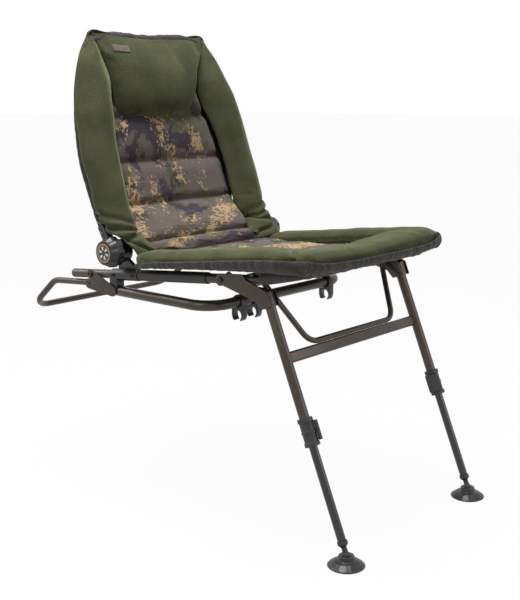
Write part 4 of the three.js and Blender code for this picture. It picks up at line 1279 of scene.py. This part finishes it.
def add_ankles():
    plug = lower_leg_radius - tube_wall - fit_gap
    profile = []
    last_angle = math.pi - math.asin(ankle_neck_radius / ball_radius)
    for i in range(bend_steps + 1):
        angle = last_angle * i / bend_steps
        profile.append((ball_radius * math.sin(angle), -ball_radius * math.cos(angle)))
    neck_end = ankle_neck_top - ball_up
    collar_end = lower_leg_bottom - fit_gap - ball_up
    profile += eased([
        (ankle_neck_radius, neck_end - ankle_neck_radius),
        (ankle_collar_radius, neck_end),
        (ankle_collar_radius, collar_end),
        (plug, collar_end),
        (plug, ankle_collar_top - ball_up),
        (0, ankle_collar_top - ball_up),
    ], lip)
    for name, side in sides:
        ankle = placed(turned(profile), leg_point(ball_up, 0, side * half_rail), leg_direction)
        add_piece(f"ankle_joint_{name}", [ankle], black_plastic, f"lower_leg_{name}", f"ankle_{name}")


def add_feet():
    ball_place = leg_point(ball_up)
    profile = eased([
        (0, 0),
        (foot_radius - foot_rim / 2, 0),
        (foot_radius, foot_rim / 2),
        (foot_radius - foot_rim / 2, foot_rim),
        (foot_dome_radius, foot_dome_height),
        (foot_boss_radius, foot_dome_height + foot_rim / 2),
        (foot_boss_radius, foot_boss_height),
        (foot_socket_radius, foot_boss_height),
    ], 2 * lip)
    for i in range(bend_steps + 1):
        angle = i * quarter / bend_steps
        height = ball_place.z - ground - foot_socket_radius * math.sin(angle)
        profile.append((foot_socket_radius * math.cos(angle), height))

    def lobed(radius, height, angle):
        on_dome = tread_inner < radius < tread_outer and height > foot_rim / 2
        deep = foot_tread_share if on_dome else 0
        return 1 - deep * (0.5 + 0.5 * math.cos(foot_treads * angle)) ** 4

    for name, side in sides:
        place = Vector((side * half_rail, ball_place.y, ground))
        foot = placed(turned(profile, 6 * foot_treads, lobed), place, up)
        add_piece(f"foot_pad_{name}", [foot], black_plastic, f"foot_{name}", f"foot_{name}")


# Recliner hubs
def back_tube_path(steps=8):
    half = [back_point(depth, rise, across * back_half_width) for across, depth, rise in back_tube_shares]
    return centripetal(mirrored_on(half), steps)


back_path = back_tube_path()


def add_hubs():
    clamp_middle = (rail_radius + fit_gap + hub_clamp_radius) / 2
    web_outline = eased_outline([
        rail_point(hub_web_front, clamp_middle),
        rail_point(hub_web_rear, clamp_middle),
        *arc(hub_axis, hub_disc_radius, -quarter / 2, 5 * quarter / 2, 2 * bend_steps),
    ], 2 * lip)
    start = Vector((0, back_path[0].y, back_path[0].z))
    heading = (back_path[8] - back_path[0]).normalized()
    arm_outline = strap(hub_axis, start, socket_arm_radius)
    axle_inner = hub_disc_inner - fit_gap - axle_head_height
    for name, side in sides:
        socket_start = beside(side, back_half_width, start)
        socket_end = socket_start + heading * socket_length
        mount = [
            rail_tube(side, hub_clamp_front, hub_clamp_rear, hub_clamp_radius, 2 * lip),
            plate(side, hub_disc_inner, hub_disc_joint - fit_gap, web_outline, lip),
        ]
        arm = [
            cross_rod(side, hub_disc_joint, hub_disc_outer, hub_axis, hub_disc_radius, lip),
            straight(socket_start, socket_end, socket_radius, back_tube_radius + fit_gap, lip),
            plate(side, hub_disc_joint + fit_gap, hub_disc_outer - lip, arm_outline, lip),
        ]
        axle = [
            cross_rod(side, axle_inner, hub_disc_inner, hub_axis, axle_radius),
            cross_rod(side, axle_inner, hub_disc_inner - fit_gap, hub_axis, bolt_head_radius,
                      plate_edge, nut_sides),
        ]
        add_piece(f"hub_mount_{name}", mount, black_plastic, "seat", f"hub_clamp_{name}")
        add_piece(f"hub_arm_{name}", arm, black_plastic, "backrest", f"hub_disc_{name}")
        add_piece(f"hub_axle_{name}", axle, steel, "seat", f"recliner_axle_{name}")
        for place_name, reach in hub_bolt_reaches.items():
            screw = cap_screw(side, half_rail + hub_clamp_radius - lip, rail_point(reach),
                              hub_bolt_radius, hub_bolt_height)
            add_piece(f"hub_screw_{place_name}_{name}", [screw], steel, "seat",
                      f"hub_bolt_{place_name}_{name}")
        add_knob(name, side)


def add_knob(name, side):
    """A scalloped knob with a printed dial let into its face"""
    inner = hub_disc_outer + knob_gap
    dial = dial_radius + fit_gap
    profile = [(0, 0)]
    profile += [(width * knob_radius, along * knob_length) for along, width in knob_profile_shares]
    profile += [
        (knob_face_radius, knob_length),
        (dial, knob_length),
        (dial, knob_length - dial_recess),
        (0, knob_length - dial_recess),
    ]

    def scalloped(radius, height, angle):
        if radius < knob_face_radius + fit_gap or height < knob_length * knob_plain_share:
            return 1
        lobe = wave(knob_lobes, angle) ** 2
        return 1 - knob_lobe_share * lobe - knob_rib_share * wave(6 * knob_lobes, angle)

    shape = turned(eased(profile, knob_edge), 16 * knob_lobes, scalloped)
    body = placed(shape, beside(side, inner, hub_axis), sideways * side)
    add_piece(f"grip_knob_{name}", [body], black_plastic, f"knob_{name}", f"knob_{name}")
    seat = inner + knob_length - dial_recess + fit_gap
    cap = cross_rod(side, seat, seat + dial_thickness, hub_axis, dial_radius, plate_edge / 2)
    add_piece(f"dial_{name}", [cap], dial_print, f"knob_{name}", f"knob_dial_{name}")


def add_back_frame():
    shape = tube(back_path, back_tube_radius, back_tube_radius - tube_wall)
    add_piece("back_tube", [shape], bronze, "backrest", "back_frame")


# Cradle and rear bar
def add_cradle():
    corners = [
        Vector((-half_rail, bow_rear, bow_rise)),
        Vector((-half_rail, 0, bow_rise)),
        Vector((half_rail, 0, bow_rise)),
        Vector((half_rail, bow_rear, bow_rise)),
    ]
    bow = tube(bent(corners, bow_bend_radius), bow_radius, bow_radius - tube_wall)
    add_piece("bow_tube", [bow], bronze, "cradle", "bow")
    bolt_inner = half_rail - rail_radius - fit_gap
    bolt_outer = half_rail + bow_radius + fit_gap + plate_thickness + fit_gap
    for name, side in sides:
        refined(f"cradle_plate_{name}", f"bow_plate_{name}", bronze, "cradle")
        bolt = rail_bolt(side, cradle_bolt_reach, bolt_inner, bolt_outer)
        add_piece(f"cradle_screw_{name}", bolt, steel, "seat", f"cradle_bolt_{name}")
        refined(f"stop_block_{name}", f"stop_pad_{name}", black_plastic, "cradle", lip)
    for place in ("right", "middle", "left"):
        refined(f"rail_clip_{place}", f"clip_{place}", black_plastic, f"clip_{place}")


def add_rear_bar():
    half = [Vector((-half_rail, *spot)) for spot in (rear_bar_pivot, rear_bar_knee, rear_bar_end)]
    corners = half + [beside(-1, place.x, place) for place in reversed(half)]
    bar = tube(bent(corners, rear_bar_bend_radius), rear_bar_radius)
    add_piece("rear_tube", [bar], bronze, "rear_bar", "rear_bar")
    rivet_end = half_rail + bow_radius + plate_thickness + bolt_head_height / 2
    for name, side in sides:
        pivot, knee = [beside(side, half_rail, place) for place in half[:2]]
        heading = (knee - pivot).normalized()
        start = pivot - heading * rear_bar_radius
        end = start + heading * rear_bar_plug_length
        plug = straight(start, end, rear_bar_plug_radius, 0, 2 * lip)
        rivet = cross_rod(side, half_rail, rivet_end, pivot, rivet_radius)
        add_piece(f"rear_plug_{name}", [plug, rivet], black_plastic, "rear_bar")


# Soft forms
def block_grid(counts):
    """A divided block's surface: places from -1 to 1, quads, and each quad corner's lattice steps"""
    places, index, quads, steps = [], {}, [], []

    def corner(key):
        if key not in index:
            index[key] = len(places)
            places.append(tuple(2 * k / n - 1 for k, n in zip(key, counts)))
        return index[key]

    for fixed in range(3):
        first, second = [axis for axis in range(3) if axis != fixed]
        for end in (0, counts[fixed]):
            for i in range(counts[first]):
                for j in range(counts[second]):
                    keys = []
                    for di, dj in ((0, 0), (1, 0), (1, 1), (0, 1)):
                        key = [end, end, end]
                        key[first], key[second] = i + di, j + dj
                        keys.append(tuple(key))
                    quads.append([corner(key) for key in keys])
                    steps.append([(first, second, key[first], key[second]) for key in keys])
    return places, quads, steps


def lattice_spacing(points, quads, steps):
    """The mean distance between neighbours along each of a block's three directions"""
    totals, counts = [0.0] * 3, [0] * 3
    for quad, step in zip(quads, steps):
        for k in range(4):
            here, following = step[k], step[(k + 1) % 4]
            axis = here[0] if here[2] != following[2] else here[1]
            totals[axis] += (points[quad[k]] - points[quad[(k + 1) % 4]]).length
            counts[axis] += 1
    return [length / max(count, 1) for length, count in zip(totals, counts)]


def soft_block(name, counts, place, material):
    """A flat stuffed form on a divided block"""
    places, quads, steps = block_grid(counts)
    points = [place(*spot) for spot in places]
    spacing = lattice_spacing(points, quads, steps)
    corners = [(i * spacing[first], j * spacing[second]) for step in steps for first, second, i, j in step]
    return mesh_object(name, points, quads, material, corners), places


def squared_circle(turn):
    """A place on a rounded square from -1 to 1, whose seam lies at the back"""
    angle = 2 * math.pi * turn - quarter
    return squared(math.cos(angle), math.sin(angle), corner_power)


def squared(x, y, power):
    """A place drawn out or in to a rounded square, which is sharper at a higher power"""
    size = (abs(x) ** power + abs(y) ** power) ** (1 / power)
    return x / size, y / size


def soft_roll(name, rows, round_count, place):
    """A long stuffed form from rings round its length, closed at both ends"""
    rings = []
    for row in range(rows + 1):
        rings.append([place(*squared_circle(k / round_count), row / rows) for k in range(round_count)])
    along = [0.0]
    for first, second in zip(rings, rings[1:]):
        step = sum((a - b).length for a, b in zip(first, second)) / round_count
        along.append(along[-1] + step)
    middle = round_count // 2
    around = []
    for ring in rings:
        lengths = lengths_along([*ring, ring[0]])
        around.append([length - lengths[middle] for length in lengths])
    points = [point for ring in rings for point in ring]
    faces, corners = [], []
    for row in range(rows):
        start, end = row * round_count, (row + 1) * round_count
        for k in range(round_count):
            following = (k + 1) % round_count
            faces.append((start + k, start + following, end + following, end + k))
            for corner_row, corner_k in ((row, k), (row, k + 1), (row + 1, k + 1), (row + 1, k)):
                corners.append((around[corner_row][corner_k], along[corner_row]))
    for row, order in ((0, -1), (rows, 1)):
        centre = len(points)
        points.append(sum(rings[row], Vector()) / round_count)
        for k in range(round_count):
            first, second = (k, (k + 1) % round_count)[::order]
            faces.append((centre, row * round_count + first, row * round_count + second))
            corners += [(around[row][corner_k], along[row]) for corner_k in (middle, k, k + 1)]
    return mesh_object(name, points, faces, green_mesh[0], corners)


def inflated(piece, held, pressure, shrinkage, cap):
    """Lets a stuffed form fill and crease, its sewn lines held still"""
    rest = [vertex.co.copy() for vertex in piece.data.vertices]
    group = piece.vertex_groups.new(name="sewn")
    group.add(held, 1.0, "REPLACE")
    cloth = piece.modifiers.new("cloth", "CLOTH")
    settings = cloth.settings
    settings.quality = filling_quality
    settings.use_pressure = True
    settings.uniform_pressure_force = pressure
    settings.effector_weights.gravity = 0
    settings.shrink_min = shrinkage
    settings.tension_stiffness = cloth_stiffness
    settings.compression_stiffness = cloth_stiffness
    settings.bending_stiffness = bending_stiffness
    settings.vertex_group_mass = "sewn"
    cloth.point_cache.frame_start = 1
    cloth.point_cache.frame_end = filling_frames
    scene = bpy.context.scene
    for number in range(1, filling_frames + 1):
        scene.frame_set(number)
    evaluated = piece.evaluated_get(bpy.context.evaluated_depsgraph_get())
    moved = [vertex.co.copy() for vertex in evaluated.data.vertices]
    piece.modifiers.remove(cloth)
    for vertex, start, end in zip(piece.data.vertices, rest, moved):
        step = end - start
        if step.length > cap:
            step *= cap / step.length
        vertex.co = start + step
    scene.frame_set(1)


def applied(piece, modifier):
    """Makes a modifier's result the piece's own mesh"""
    evaluated = piece.evaluated_get(bpy.context.evaluated_depsgraph_get())
    mesh = bpy.data.meshes.new_from_object(evaluated)
    piece.modifiers.remove(modifier)
    old = piece.data
    piece.data = mesh
    bpy.data.meshes.remove(old)
    mesh.name = piece.name
    mesh.shade_smooth()


def subdivided(piece):
    smooth = piece.modifiers.new("smooth", "SUBSURF")
    smooth.levels = 1
    smooth.render_levels = 1
    applied(piece, smooth)


def pressed(piece, depth):
    """Moves a soft piece's skin out by a depth that its place gives"""
    moves = [vertex.normal * depth(vertex.co) for vertex in piece.data.vertices]
    for vertex, move in zip(piece.data.vertices, moves):
        vertex.co += move
    piece.data.update()


def stuffed(piece, held, filling, depth=None):
    """Fills a soft form, smooths it and makes its skin uneven by a depth for each place"""
    inflated(piece, held, *filling)
    subdivided(piece)
    if depth:
        pressed(piece, depth)


def add_soft(piece, body, slot, fill, *nodes):
    attach(piece, body, slot, *nodes)


def facing(piece, direction):
    """The points of a roll whose skin faces a direction, such as where it is sewn down"""
    return [i for i, vertex in enumerate(piece.data.vertices) if vertex.normal.dot(direction) > held_facing]


def end_fullness(v, least):
    """How much thickness is kept at a place from -1 to 1 along a stuffed piece"""
    return least + (1 - least) * math.sqrt(max(0.0, 1 - abs(v) ** end_power))


def closing(share, start, end):
    """How much of a roll's section is kept near its ends, which close over given shares"""
    kept = 1.0
    for distance, reach in ((share, start), (1 - share, end)):
        if distance < reach:
            kept = min(kept, math.sqrt(max(0.0, 1 - (1 - distance / reach) ** 2)))
    return max(kept, least_section_share)


def crease(value, centre, width):
    """1 on a line and 0 away from it"""
    return math.exp(-((value - centre) / width) ** 2)


def ruffled(place, waves, strength, seed=0.0):
    """A small slow bump for stuffing that is never quite even"""
    return strength * noise.noise(place * waves + Vector((seed, seed, seed)))


# Seat pad
def sewn_places(places, seam_shares):
    """The places of a quilted block that its stitching holds: the back, the ends and the seams"""
    held = []
    for i, (u, v, w) in enumerate(places):
        on_seam = any(abs((v + 1) / 2 - seam) < held_seam_share for seam in seam_shares)
        if w == -1 or abs(u) == 1 or abs(v) == 1 or on_seam:
            held.append(i)
    return held


def add_seat_pad():
    def place(u, v, w):
        share = (v + 1) / 2
        reach = seat_pad_rear + (-seat_pad_front - seat_pad_rear) * share
        sunk = sum(crease(share, seam, seat_seam_width_share) for seam in seat_seam_shares)
        edge = math.sqrt(max(0, 1 - seat_edge_share * abs(u) ** edge_power))
        top = spline(seat_pad_tops, share)
        middle = (seat_pad_bottom + top) / 2
        upper = (top - seat_seam_depth * sunk - middle) * (end_fullness(v, seat_end_share) * edge)
        rise = middle + w * (upper if w > 0 else middle - seat_pad_bottom)
        return rail_point(reach, rise, u * pad_half_width)

    piece, places = soft_block("seat_pad_cover", (44, 72, 3), place, camouflage_print[0])
    stuffed(piece, sewn_places(places, seat_seam_shares), seat_pad_filling)
    add_soft(piece, "seat", camouflage_print[1], pad_fill, "seat_pad")


# Bolsters of the seat
def add_bolster(name, rows, round_count, place, ruffle):
    piece = soft_roll(f"bolster_roll_{name}", rows, round_count, place)
    stuffed(piece, facing(piece, -up), bolster_filling, lambda spot: ruffled(spot, *ruffle))
    add_soft(piece, "seat", green_mesh[1], roll_fill, f"seat_bolster_{name}")


def add_side_bolsters():
    for name, side in sides:
        def place(u, w, share, side=side, lift=bolster_top_lifts[name]):
            kept = closing(share, *bolster_closing_shares)
            reach = spline(bolster_reaches, share) - corner_mitre * (u + 1) / 2 * share ** 3
            top = spline(bolster_tops, share) + lift
            bottom = spline(bolster_bottoms, share)
            outer = spline(bolster_outers, share)
            x = (bolster_inner + outer) / 2 + u * kept * (outer - bolster_inner) / 2
            rise = (bottom + top) / 2 + w * kept * (top - bottom) / 2
            return rail_point(reach, rise, side * x)

        add_bolster(name, 64, 40, place, side_bolster_ruffle)


def add_front_bolster():
    """The roll across the front, which hangs down in front of the cross tube"""
    def place(u, w, share):
        kept = closing(share, *front_closing_shares)
        across = 2 * share - 1
        along = (u * kept + 1) / 2
        dropped = min(1, max(0, (along - drop_start_share) / drop_width_share))
        bottom = front_bottom - front_drop * dropped
        rise = bottom + (spline(front_tops, share) - bottom) * (w * kept + 1) / 2
        bowed = 1 - front_bow_share * across ** 4
        reach = -front_rear - (front_front - front_rear) * along * bowed
        half = front_inner_half_width + (front_outer_half_width - front_inner_half_width) * along
        return rail_point(reach, rise, across * half)

    add_bolster("front", 90, 36, place, front_bolster_ruffle)


# Skirt and pocket
def cloth_strip(name, rows, finish, body, thickness=cloth_thickness):
    """A sheet of cloth with a thickness, from rows of places across it"""
    width = len(rows[0])
    points = [place for row in rows for place in row]
    faces, corners = [], []
    along = 0.0
    for i in range(len(rows) - 1):
        step = sum((b - a).length for a, b in zip(rows[i], rows[i + 1])) / width
        across = 0.0
        for k in range(width - 1):
            span = (rows[i][k + 1] - rows[i][k]).length
            start = i * width + k
            faces.append((start, start + 1, start + width + 1, start + width))
            corners += [(along, across), (along, across + span), (along + step, across + span),
                        (along + step, across)]
            across += span
        along += step
    material, slot = finish
    piece = mesh_object(name, points, faces, material, corners)
    solid = piece.modifiers.new("thickness", "SOLIDIFY")
    solid.thickness = thickness
    solid.offset = 0
    applied(piece, solid)
    attach(piece, body, slot)
    return piece


def skirt_edges():
    """The skirt's upper and lower edge lines from the right rear, round the front, to the left rear"""
    upper, lower = [], []
    for reach, width, rise, low_width, low_rise in skirt_rows:
        upper.append(rail_point(reach, rise, -width))
        lower.append(rail_point(reach, low_rise, -low_width))
    for width, reach, rise, low_reach, low_rise in skirt_front_rows:
        upper.append(rail_point(reach, rise, -width))
        lower.append(rail_point(low_reach, low_rise, -width))
    return [centripetal(mirrored_on(half), 60) for half in (upper, lower)]


def skirt_place(top, bottom, outward, distance, t):
    """A place on the skirt, bulged outward and gathered where it is sewn"""
    wander = noise.noise(Vector((distance * gather_wander_waves, 0, gather_wander_start)))
    fold = math.cos(2 * math.pi * (distance / gather_pitch + wander_turns * wander))
    finer = math.cos(2 * math.pi * (distance / fine_gather_pitch + fine_wander_turns * wander))
    uneven = noise.noise(Vector((distance * gather_strength_waves, gather_strength_start, t * 1.5)))
    strength = gather_least_share + (1 - gather_least_share) * (0.5 + uneven)
    folds = fold_share * fold + (1 - fold_share) * finer
    gathers = gather_depth * strength * folds * (1 - gather_fade_share * t)
    bulge = skirt_bulge * math.sin(math.pi * min(1, t * 1.04)) ** 0.8
    return top.lerp(bottom, t) + outward * (bulge + gathers * min(1, 8 * t + 0.3))


def add_skirt():
    upper, lower = skirt_edges()
    lengths = lengths_along(upper)
    count = int(lengths[-1] / skirt_step)
    rows = []
    index = 0
    for step in range(count + 1):
        distance = lengths[-1] * step / count
        while index < len(lengths) - 2 and lengths[index + 1] < distance:
            index += 1
        t = (distance - lengths[index]) / (lengths[index + 1] - lengths[index])
        top = upper[index].lerp(upper[index + 1], t)
        bottom = lower[index].lerp(lower[index + 1], t)
        heading = (upper[index + 1] - upper[index]).normalized()
        outward = (bottom - top).cross(heading).normalized()
        downs = [k / skirt_columns for k in range(skirt_columns + 1)]
        rows.append([skirt_place(top, bottom, outward, distance, down) for down in downs])
    piece = cloth_strip("skirt_cloth", rows, skirt_cloth, "seat")


def cloth_sleeve(name, path, bore, radius, lift, finish):
    """Cloth wrapped round a tube, its outside moved out by a lift for each place and direction"""
    stations = carried_frames(path)
    last = len(stations) - 1
    rings = []
    for index, station in enumerate(stations):
        end_share = min(index, last - index) / last
        ring = []
        for spot in ring_at(station, radius):
            outward = (spot - station[0]).normalized()
            ring.append(spot + outward * lift(spot, outward, end_share))
        rings.append(ring)
    rings.extend(ring_at(station, bore) for station in reversed(stations))
    return mesh_object(name, *stacked(rings, looped=True), finish[0])


def add_pocket_cloth():
    """The dark cloth round the frame's front corners and cross tube, slack and ruckled"""
    start = [rail_kick(x).lerp(rail_corner(x), pocket_start_share) for x in (-half_rail, half_rail)]
    corners = [start[0], rail_corner(-half_rail), rail_corner(half_rail), start[1]]
    path = resampled(bent(corners, seat_corner_radius), pocket_step)
    bore = rail_radius + fit_gap

    def lift(spot, outward, end_share):
        slack = min(1, 4 * end_share)
        below = max(0, -outward.z) * pocket_sag * slack
        return pocket_lift + below + ruffled(spot, pocket_ruffle_waves, pocket_ruffle * slack)

    radius = bore + pocket_thickness * pocket_rest_share
    piece = cloth_sleeve("pocket_cloth", path, bore, radius, lift, pocket_fabric)
    add_soft(piece, "seat", pocket_fabric[1], wrap_fill, "front_pocket")


# Backrest pad and cover
def back_line(shares, rearward=0.0):
    return [back_point(depth, rise) + behind * rearward for depth, rise in shares]


def add_back_pad():
    front = back_line(pad_front_shares)
    rear = back_line(pad_rear_shares, back_tube_radius)

    def place(u, v, w):
        share = (v + 1) / 2
        near, far = spline(front, share), spline(rear, share)
        sunk = sum(crease(share, seam, back_seam_width_share) for seam in back_seam_shares)
        full = end_fullness(v, back_end_share) * (1 - back_edge_share * abs(u) ** edge_power)
        spot = far.lerp(near, (w * full + 1) / 2)
        if w > 0:
            spot += (far - near).normalized() * (back_seam_depth * sunk * w)
        spot.x = u * spline(pad_width_shares, share) * back_pad_half_width
        return spot

    piece, places = soft_block("back_pad_cover", (40, 90, 3), place, camouflage_print[0])
    stuffed(piece, sewn_places(places, back_seam_shares), back_pad_filling)
    add_soft(piece, None, camouflage_print[1], pad_fill, "back_pad")


def add_back_cover():
    front = back_line(cover_shares, back_tube_radius + cover_gap)

    def place(u, v, w):
        share = (v + 1) / 2
        spot = spline(front, share) + behind * (cover_half_thickness * (1 - w))
        spot.x = u * spline(cover_width_shares, share) * back_half_width
        return spot

    piece, _ = soft_block("back_cover_cloth", (40, 60, 1), place, camouflage_print[0])
    add_soft(piece, "backrest", camouflage_print[1], cover_fill, "back_cover")


def add_cover_rim():
    """The cover's edge, a sleeve of cloth round the frame's tube, ruckled by its lacing"""
    lowest = hub_axis.z + rim_start_share * back_rise
    path = [place for place in back_tube_path(16) if place.z > lowest]
    piece = cloth_sleeve("cover_rim_cloth", path, back_tube_radius + fit_gap,
                         back_tube_radius + rim_thickness,
                         lambda spot, outward, end_share: ruffled(spot, *rim_ruffle), rim_cloth)
    add_soft(piece, "backrest", rim_cloth[1], wrap_fill)


# Wings
def wing_place(lines, u, w, share, side):
    """A place on a wing between its four lines, whose hidden rear corners are sharper"""
    kept = closing(share, *wing_closing_shares)
    if w < 0:
        u, w = squared(u, w, rear_corner_power)
    ridge, outer, rear, inner = [spline(line, share) for line in lines]
    across, through = (u * kept + 1) / 2, (w * kept + 1) / 2
    spot = inner.lerp(rear, across).lerp(ridge.lerp(outer, across), through)
    return beside(side, spot.x, spot)


def wing_folds(place):
    """Bunched folds where the wing turns down on to the seat, and slow unevenness above"""
    depth = ruffled(place, *wing_ruffle)
    aside = abs(place.x) - wing_fold_middle
    wander = wing_fold_wander * noise.noise(place * wing_fold_waves)
    for height, slope, strength, width in wing_fold_lines:
        depth -= strength * crease(place.z, height + slope * aside + wander, width)
    return depth


def add_wings():
    lines = [[Vector(place) for place in line]
             for line in (wing_ridge, wing_outer, wing_rear, wing_inner)]
    for name, side in sides:
        piece = soft_roll(f"wing_roll_{name}", 110, 48,
                          lambda u, w, share, side=side: wing_place(lines, u, w, share, side))
        stuffed(piece, facing(piece, behind), wing_filling, wing_folds)
        add_soft(piece, None, green_mesh[1], roll_fill, f"back_wing_{name}")


# Headrest
def add_headrest():
    front, rear = [[Vector(place) for place in line] for line in (headrest_front, headrest_rear)]

    def place(u, v, w):
        share = (v + 1) / 2
        near, far = spline(front, share), spline(rear, share)
        side_kept = math.sqrt(max(0, 1 - headrest_edge_share * abs(u) ** 4))
        spot = far.lerp(near, (w + 1) / 2 * side_kept)
        lift = headrest_edge_lift * (abs(u) ** 1.5 - 0.25) * share ** 5
        lift += headrest_lower_lift * u * u * (1 - share) ** 3
        spot.x = spline(headrest_offsets, share) + u * spline(headrest_half_widths, share)
        return spot + up * lift

    piece, places = soft_block("headrest_pillow", (52, 40, 4), place, green_mesh[0])
    held = [i for i, (u, v, w) in enumerate(places) if w == -1 or v == 1 or abs(u) == 1]
    stuffed(piece, held, headrest_filling, lambda spot: ruffled(spot, *headrest_ruffle))
    add_soft(piece, "backrest", green_mesh[1], headrest_fill, "headrest")
    add_tag(piece)


def add_tag(pillow):
    """A small bare cloth tag sewn on the headrest"""
    rows = []
    (left, low), (right, high) = tag_corners
    for i in range(tag_steps[0] + 1):
        x = left + (right - left) * i / tag_steps[0]
        row = []
        for j in range(tag_steps[1] + 1):
            z = low + (high - low) * j / tag_steps[1] - tag_slope * (x - left)
            _, place, normal, _ = pillow.ray_cast(Vector((x, 0, z)), behind)
            row.append(place + normal * tag_lift)
        rows.append(row)
    piece = cloth_strip("bare_tag", rows, tag_cloth, "backrest")


# Binding, top cloth and lacing
def add_binding():
    """The tape along the top of the backrest"""
    path = centripetal([Vector(place) for place in binding_top], 6)
    rings = []
    for place, aside, normal in carried_frames(path, -behind):
        station = (place, normal, aside)
        rings.append(ring_at(station, binding_width / 2, binding_thickness / 2, binding_sides))
    shape = stacked([[path[0]], *rings, [path[-1]]])
    attach(mesh_object("binding_tape", *shape, binding_cloth[0]), "backrest", binding_cloth[1])


def add_top_cloth():
    """The cover's cloth between the binding tape and the frame's tube"""
    path = centripetal([Vector(place) for place in binding_top[1:-1]], 8)
    rows = []
    for place in path:
        low = place + Vector((place.x * (top_cloth_width_share - 1), *top_cloth_drop))
        rows.append([place.lerp(low, k / top_cloth_columns) for k in range(top_cloth_columns + 1)])
    piece = cloth_strip("cover_top_cloth", rows, rim_cloth, "backrest", 2 * cloth_thickness)


def add_lacing():
    for name, side in sides:
        shapes = []
        for y, z in lace_rows:
            first = Vector((side * lace_half_width, y - lace_front, z))
            last = Vector((side * lace_half_width, y + lace_rear, z + lace_rise))
            middle = first.lerp(last, 0.5) + Vector((side * lace_bow[0], 0, lace_bow[1]))
            path = centripetal([first, middle, last], 5)
            shapes.append(tube(path, lace_radius, 0, lace_radius / 3, 10))
        # The cords' light grey finish is a painted highlight for their glints
        material, slot = lace_cord_painted_glint
        attach(mesh_object(f"lacing_{name}", *joined(shapes), material), "backrest", slot)


# Stage: floor, lamps and surroundings
def seen_directly(tree):
    """1 where the camera looks straight at a surface, or through glass or a mirror"""
    rays = node(tree, "ShaderNodeLightPath")
    seen = maths(tree, "MAXIMUM", rays.outputs["Is Camera Ray"], rays.outputs["Is Glossy Ray"])
    return maths(tree, "MAXIMUM", seen, rays.outputs["Is Transmission Ray"])


def shown(tree, share, first, second, output):
    """Mixes two shaders by a share and sends them to an output"""
    both = node(tree, "ShaderNodeMixShader", {0: share, 1: first, 2: second})
    tree.links.new(both.outputs["Shader"], tree.nodes[output].inputs["Surface"])


def add_floor():
    material, tree, shader = blank_material("pale_floor")
    connect(tree, shader, {"Base Color": (floor_tone, floor_tone, floor_tone, 1), "Roughness": 0.9})
    glow = node(tree, "ShaderNodeEmission", {"Color": (1, 1, 1, 1), "Strength": 1.0})
    share = product(tree, seen_directly(tree), floor_glow_share)
    shown(tree, share, shader.outputs["BSDF"], glow.outputs["Emission"], "Material Output")
    corners = [(-floor_reach, -floor_reach), (floor_reach, -floor_reach), (floor_reach, floor_reach),
               (-floor_reach, floor_reach)]
    mesh = bpy.data.meshes.new("floor")
    mesh.from_pydata([(x, y, ground) for x, y in corners], [], [(0, 1, 2, 3)])
    mesh.materials.append(material)
    add_object("floor", mesh)


def add_lamps():
    for name, (place, size, power) in lamps.items():
        data = bpy.data.lights.new(name, "AREA")
        data.shape = "RECTANGLE"
        data.size, data.size_y = size
        data.energy = power
        lamp = add_object(name, data)
        lamp.location = place
        lamp.rotation_euler = facing_turn(Vector(place) - Vector(lamp_target))


def add_surroundings():
    world = bpy.data.worlds.new("world")
    bpy.context.scene.world = world
    world.use_nodes = True
    tree = world.node_tree
    background = tree.nodes["Background"]
    connect(tree, background, {"Strength": world_strength, "Color": (1, 1, 1, 1)})
    white = node(tree, "ShaderNodeBackground", {"Color": (1, 1, 1, 1), "Strength": 1.0})
    shown(tree, seen_directly(tree), background.outputs["Background"], white.outputs["Background"],
          "World Output")
    bpy.context.scene.view_settings.view_transform = "Standard"


for add in (
    add_camera, add_floor, add_lamps, add_surroundings, add_seat_frame, add_leg_brackets, add_legs,
    add_leg_brace, add_leg_locks, add_ankles, add_feet, add_hubs, add_back_frame, add_cradle,
    add_rear_bar, add_seat_pad, add_side_bolsters, add_front_bolster, add_pocket_cloth, add_back_pad,
    add_back_cover, add_cover_rim, add_wings, add_headrest, add_skirt, add_binding, add_top_cloth,
    add_lacing,
):
    add()
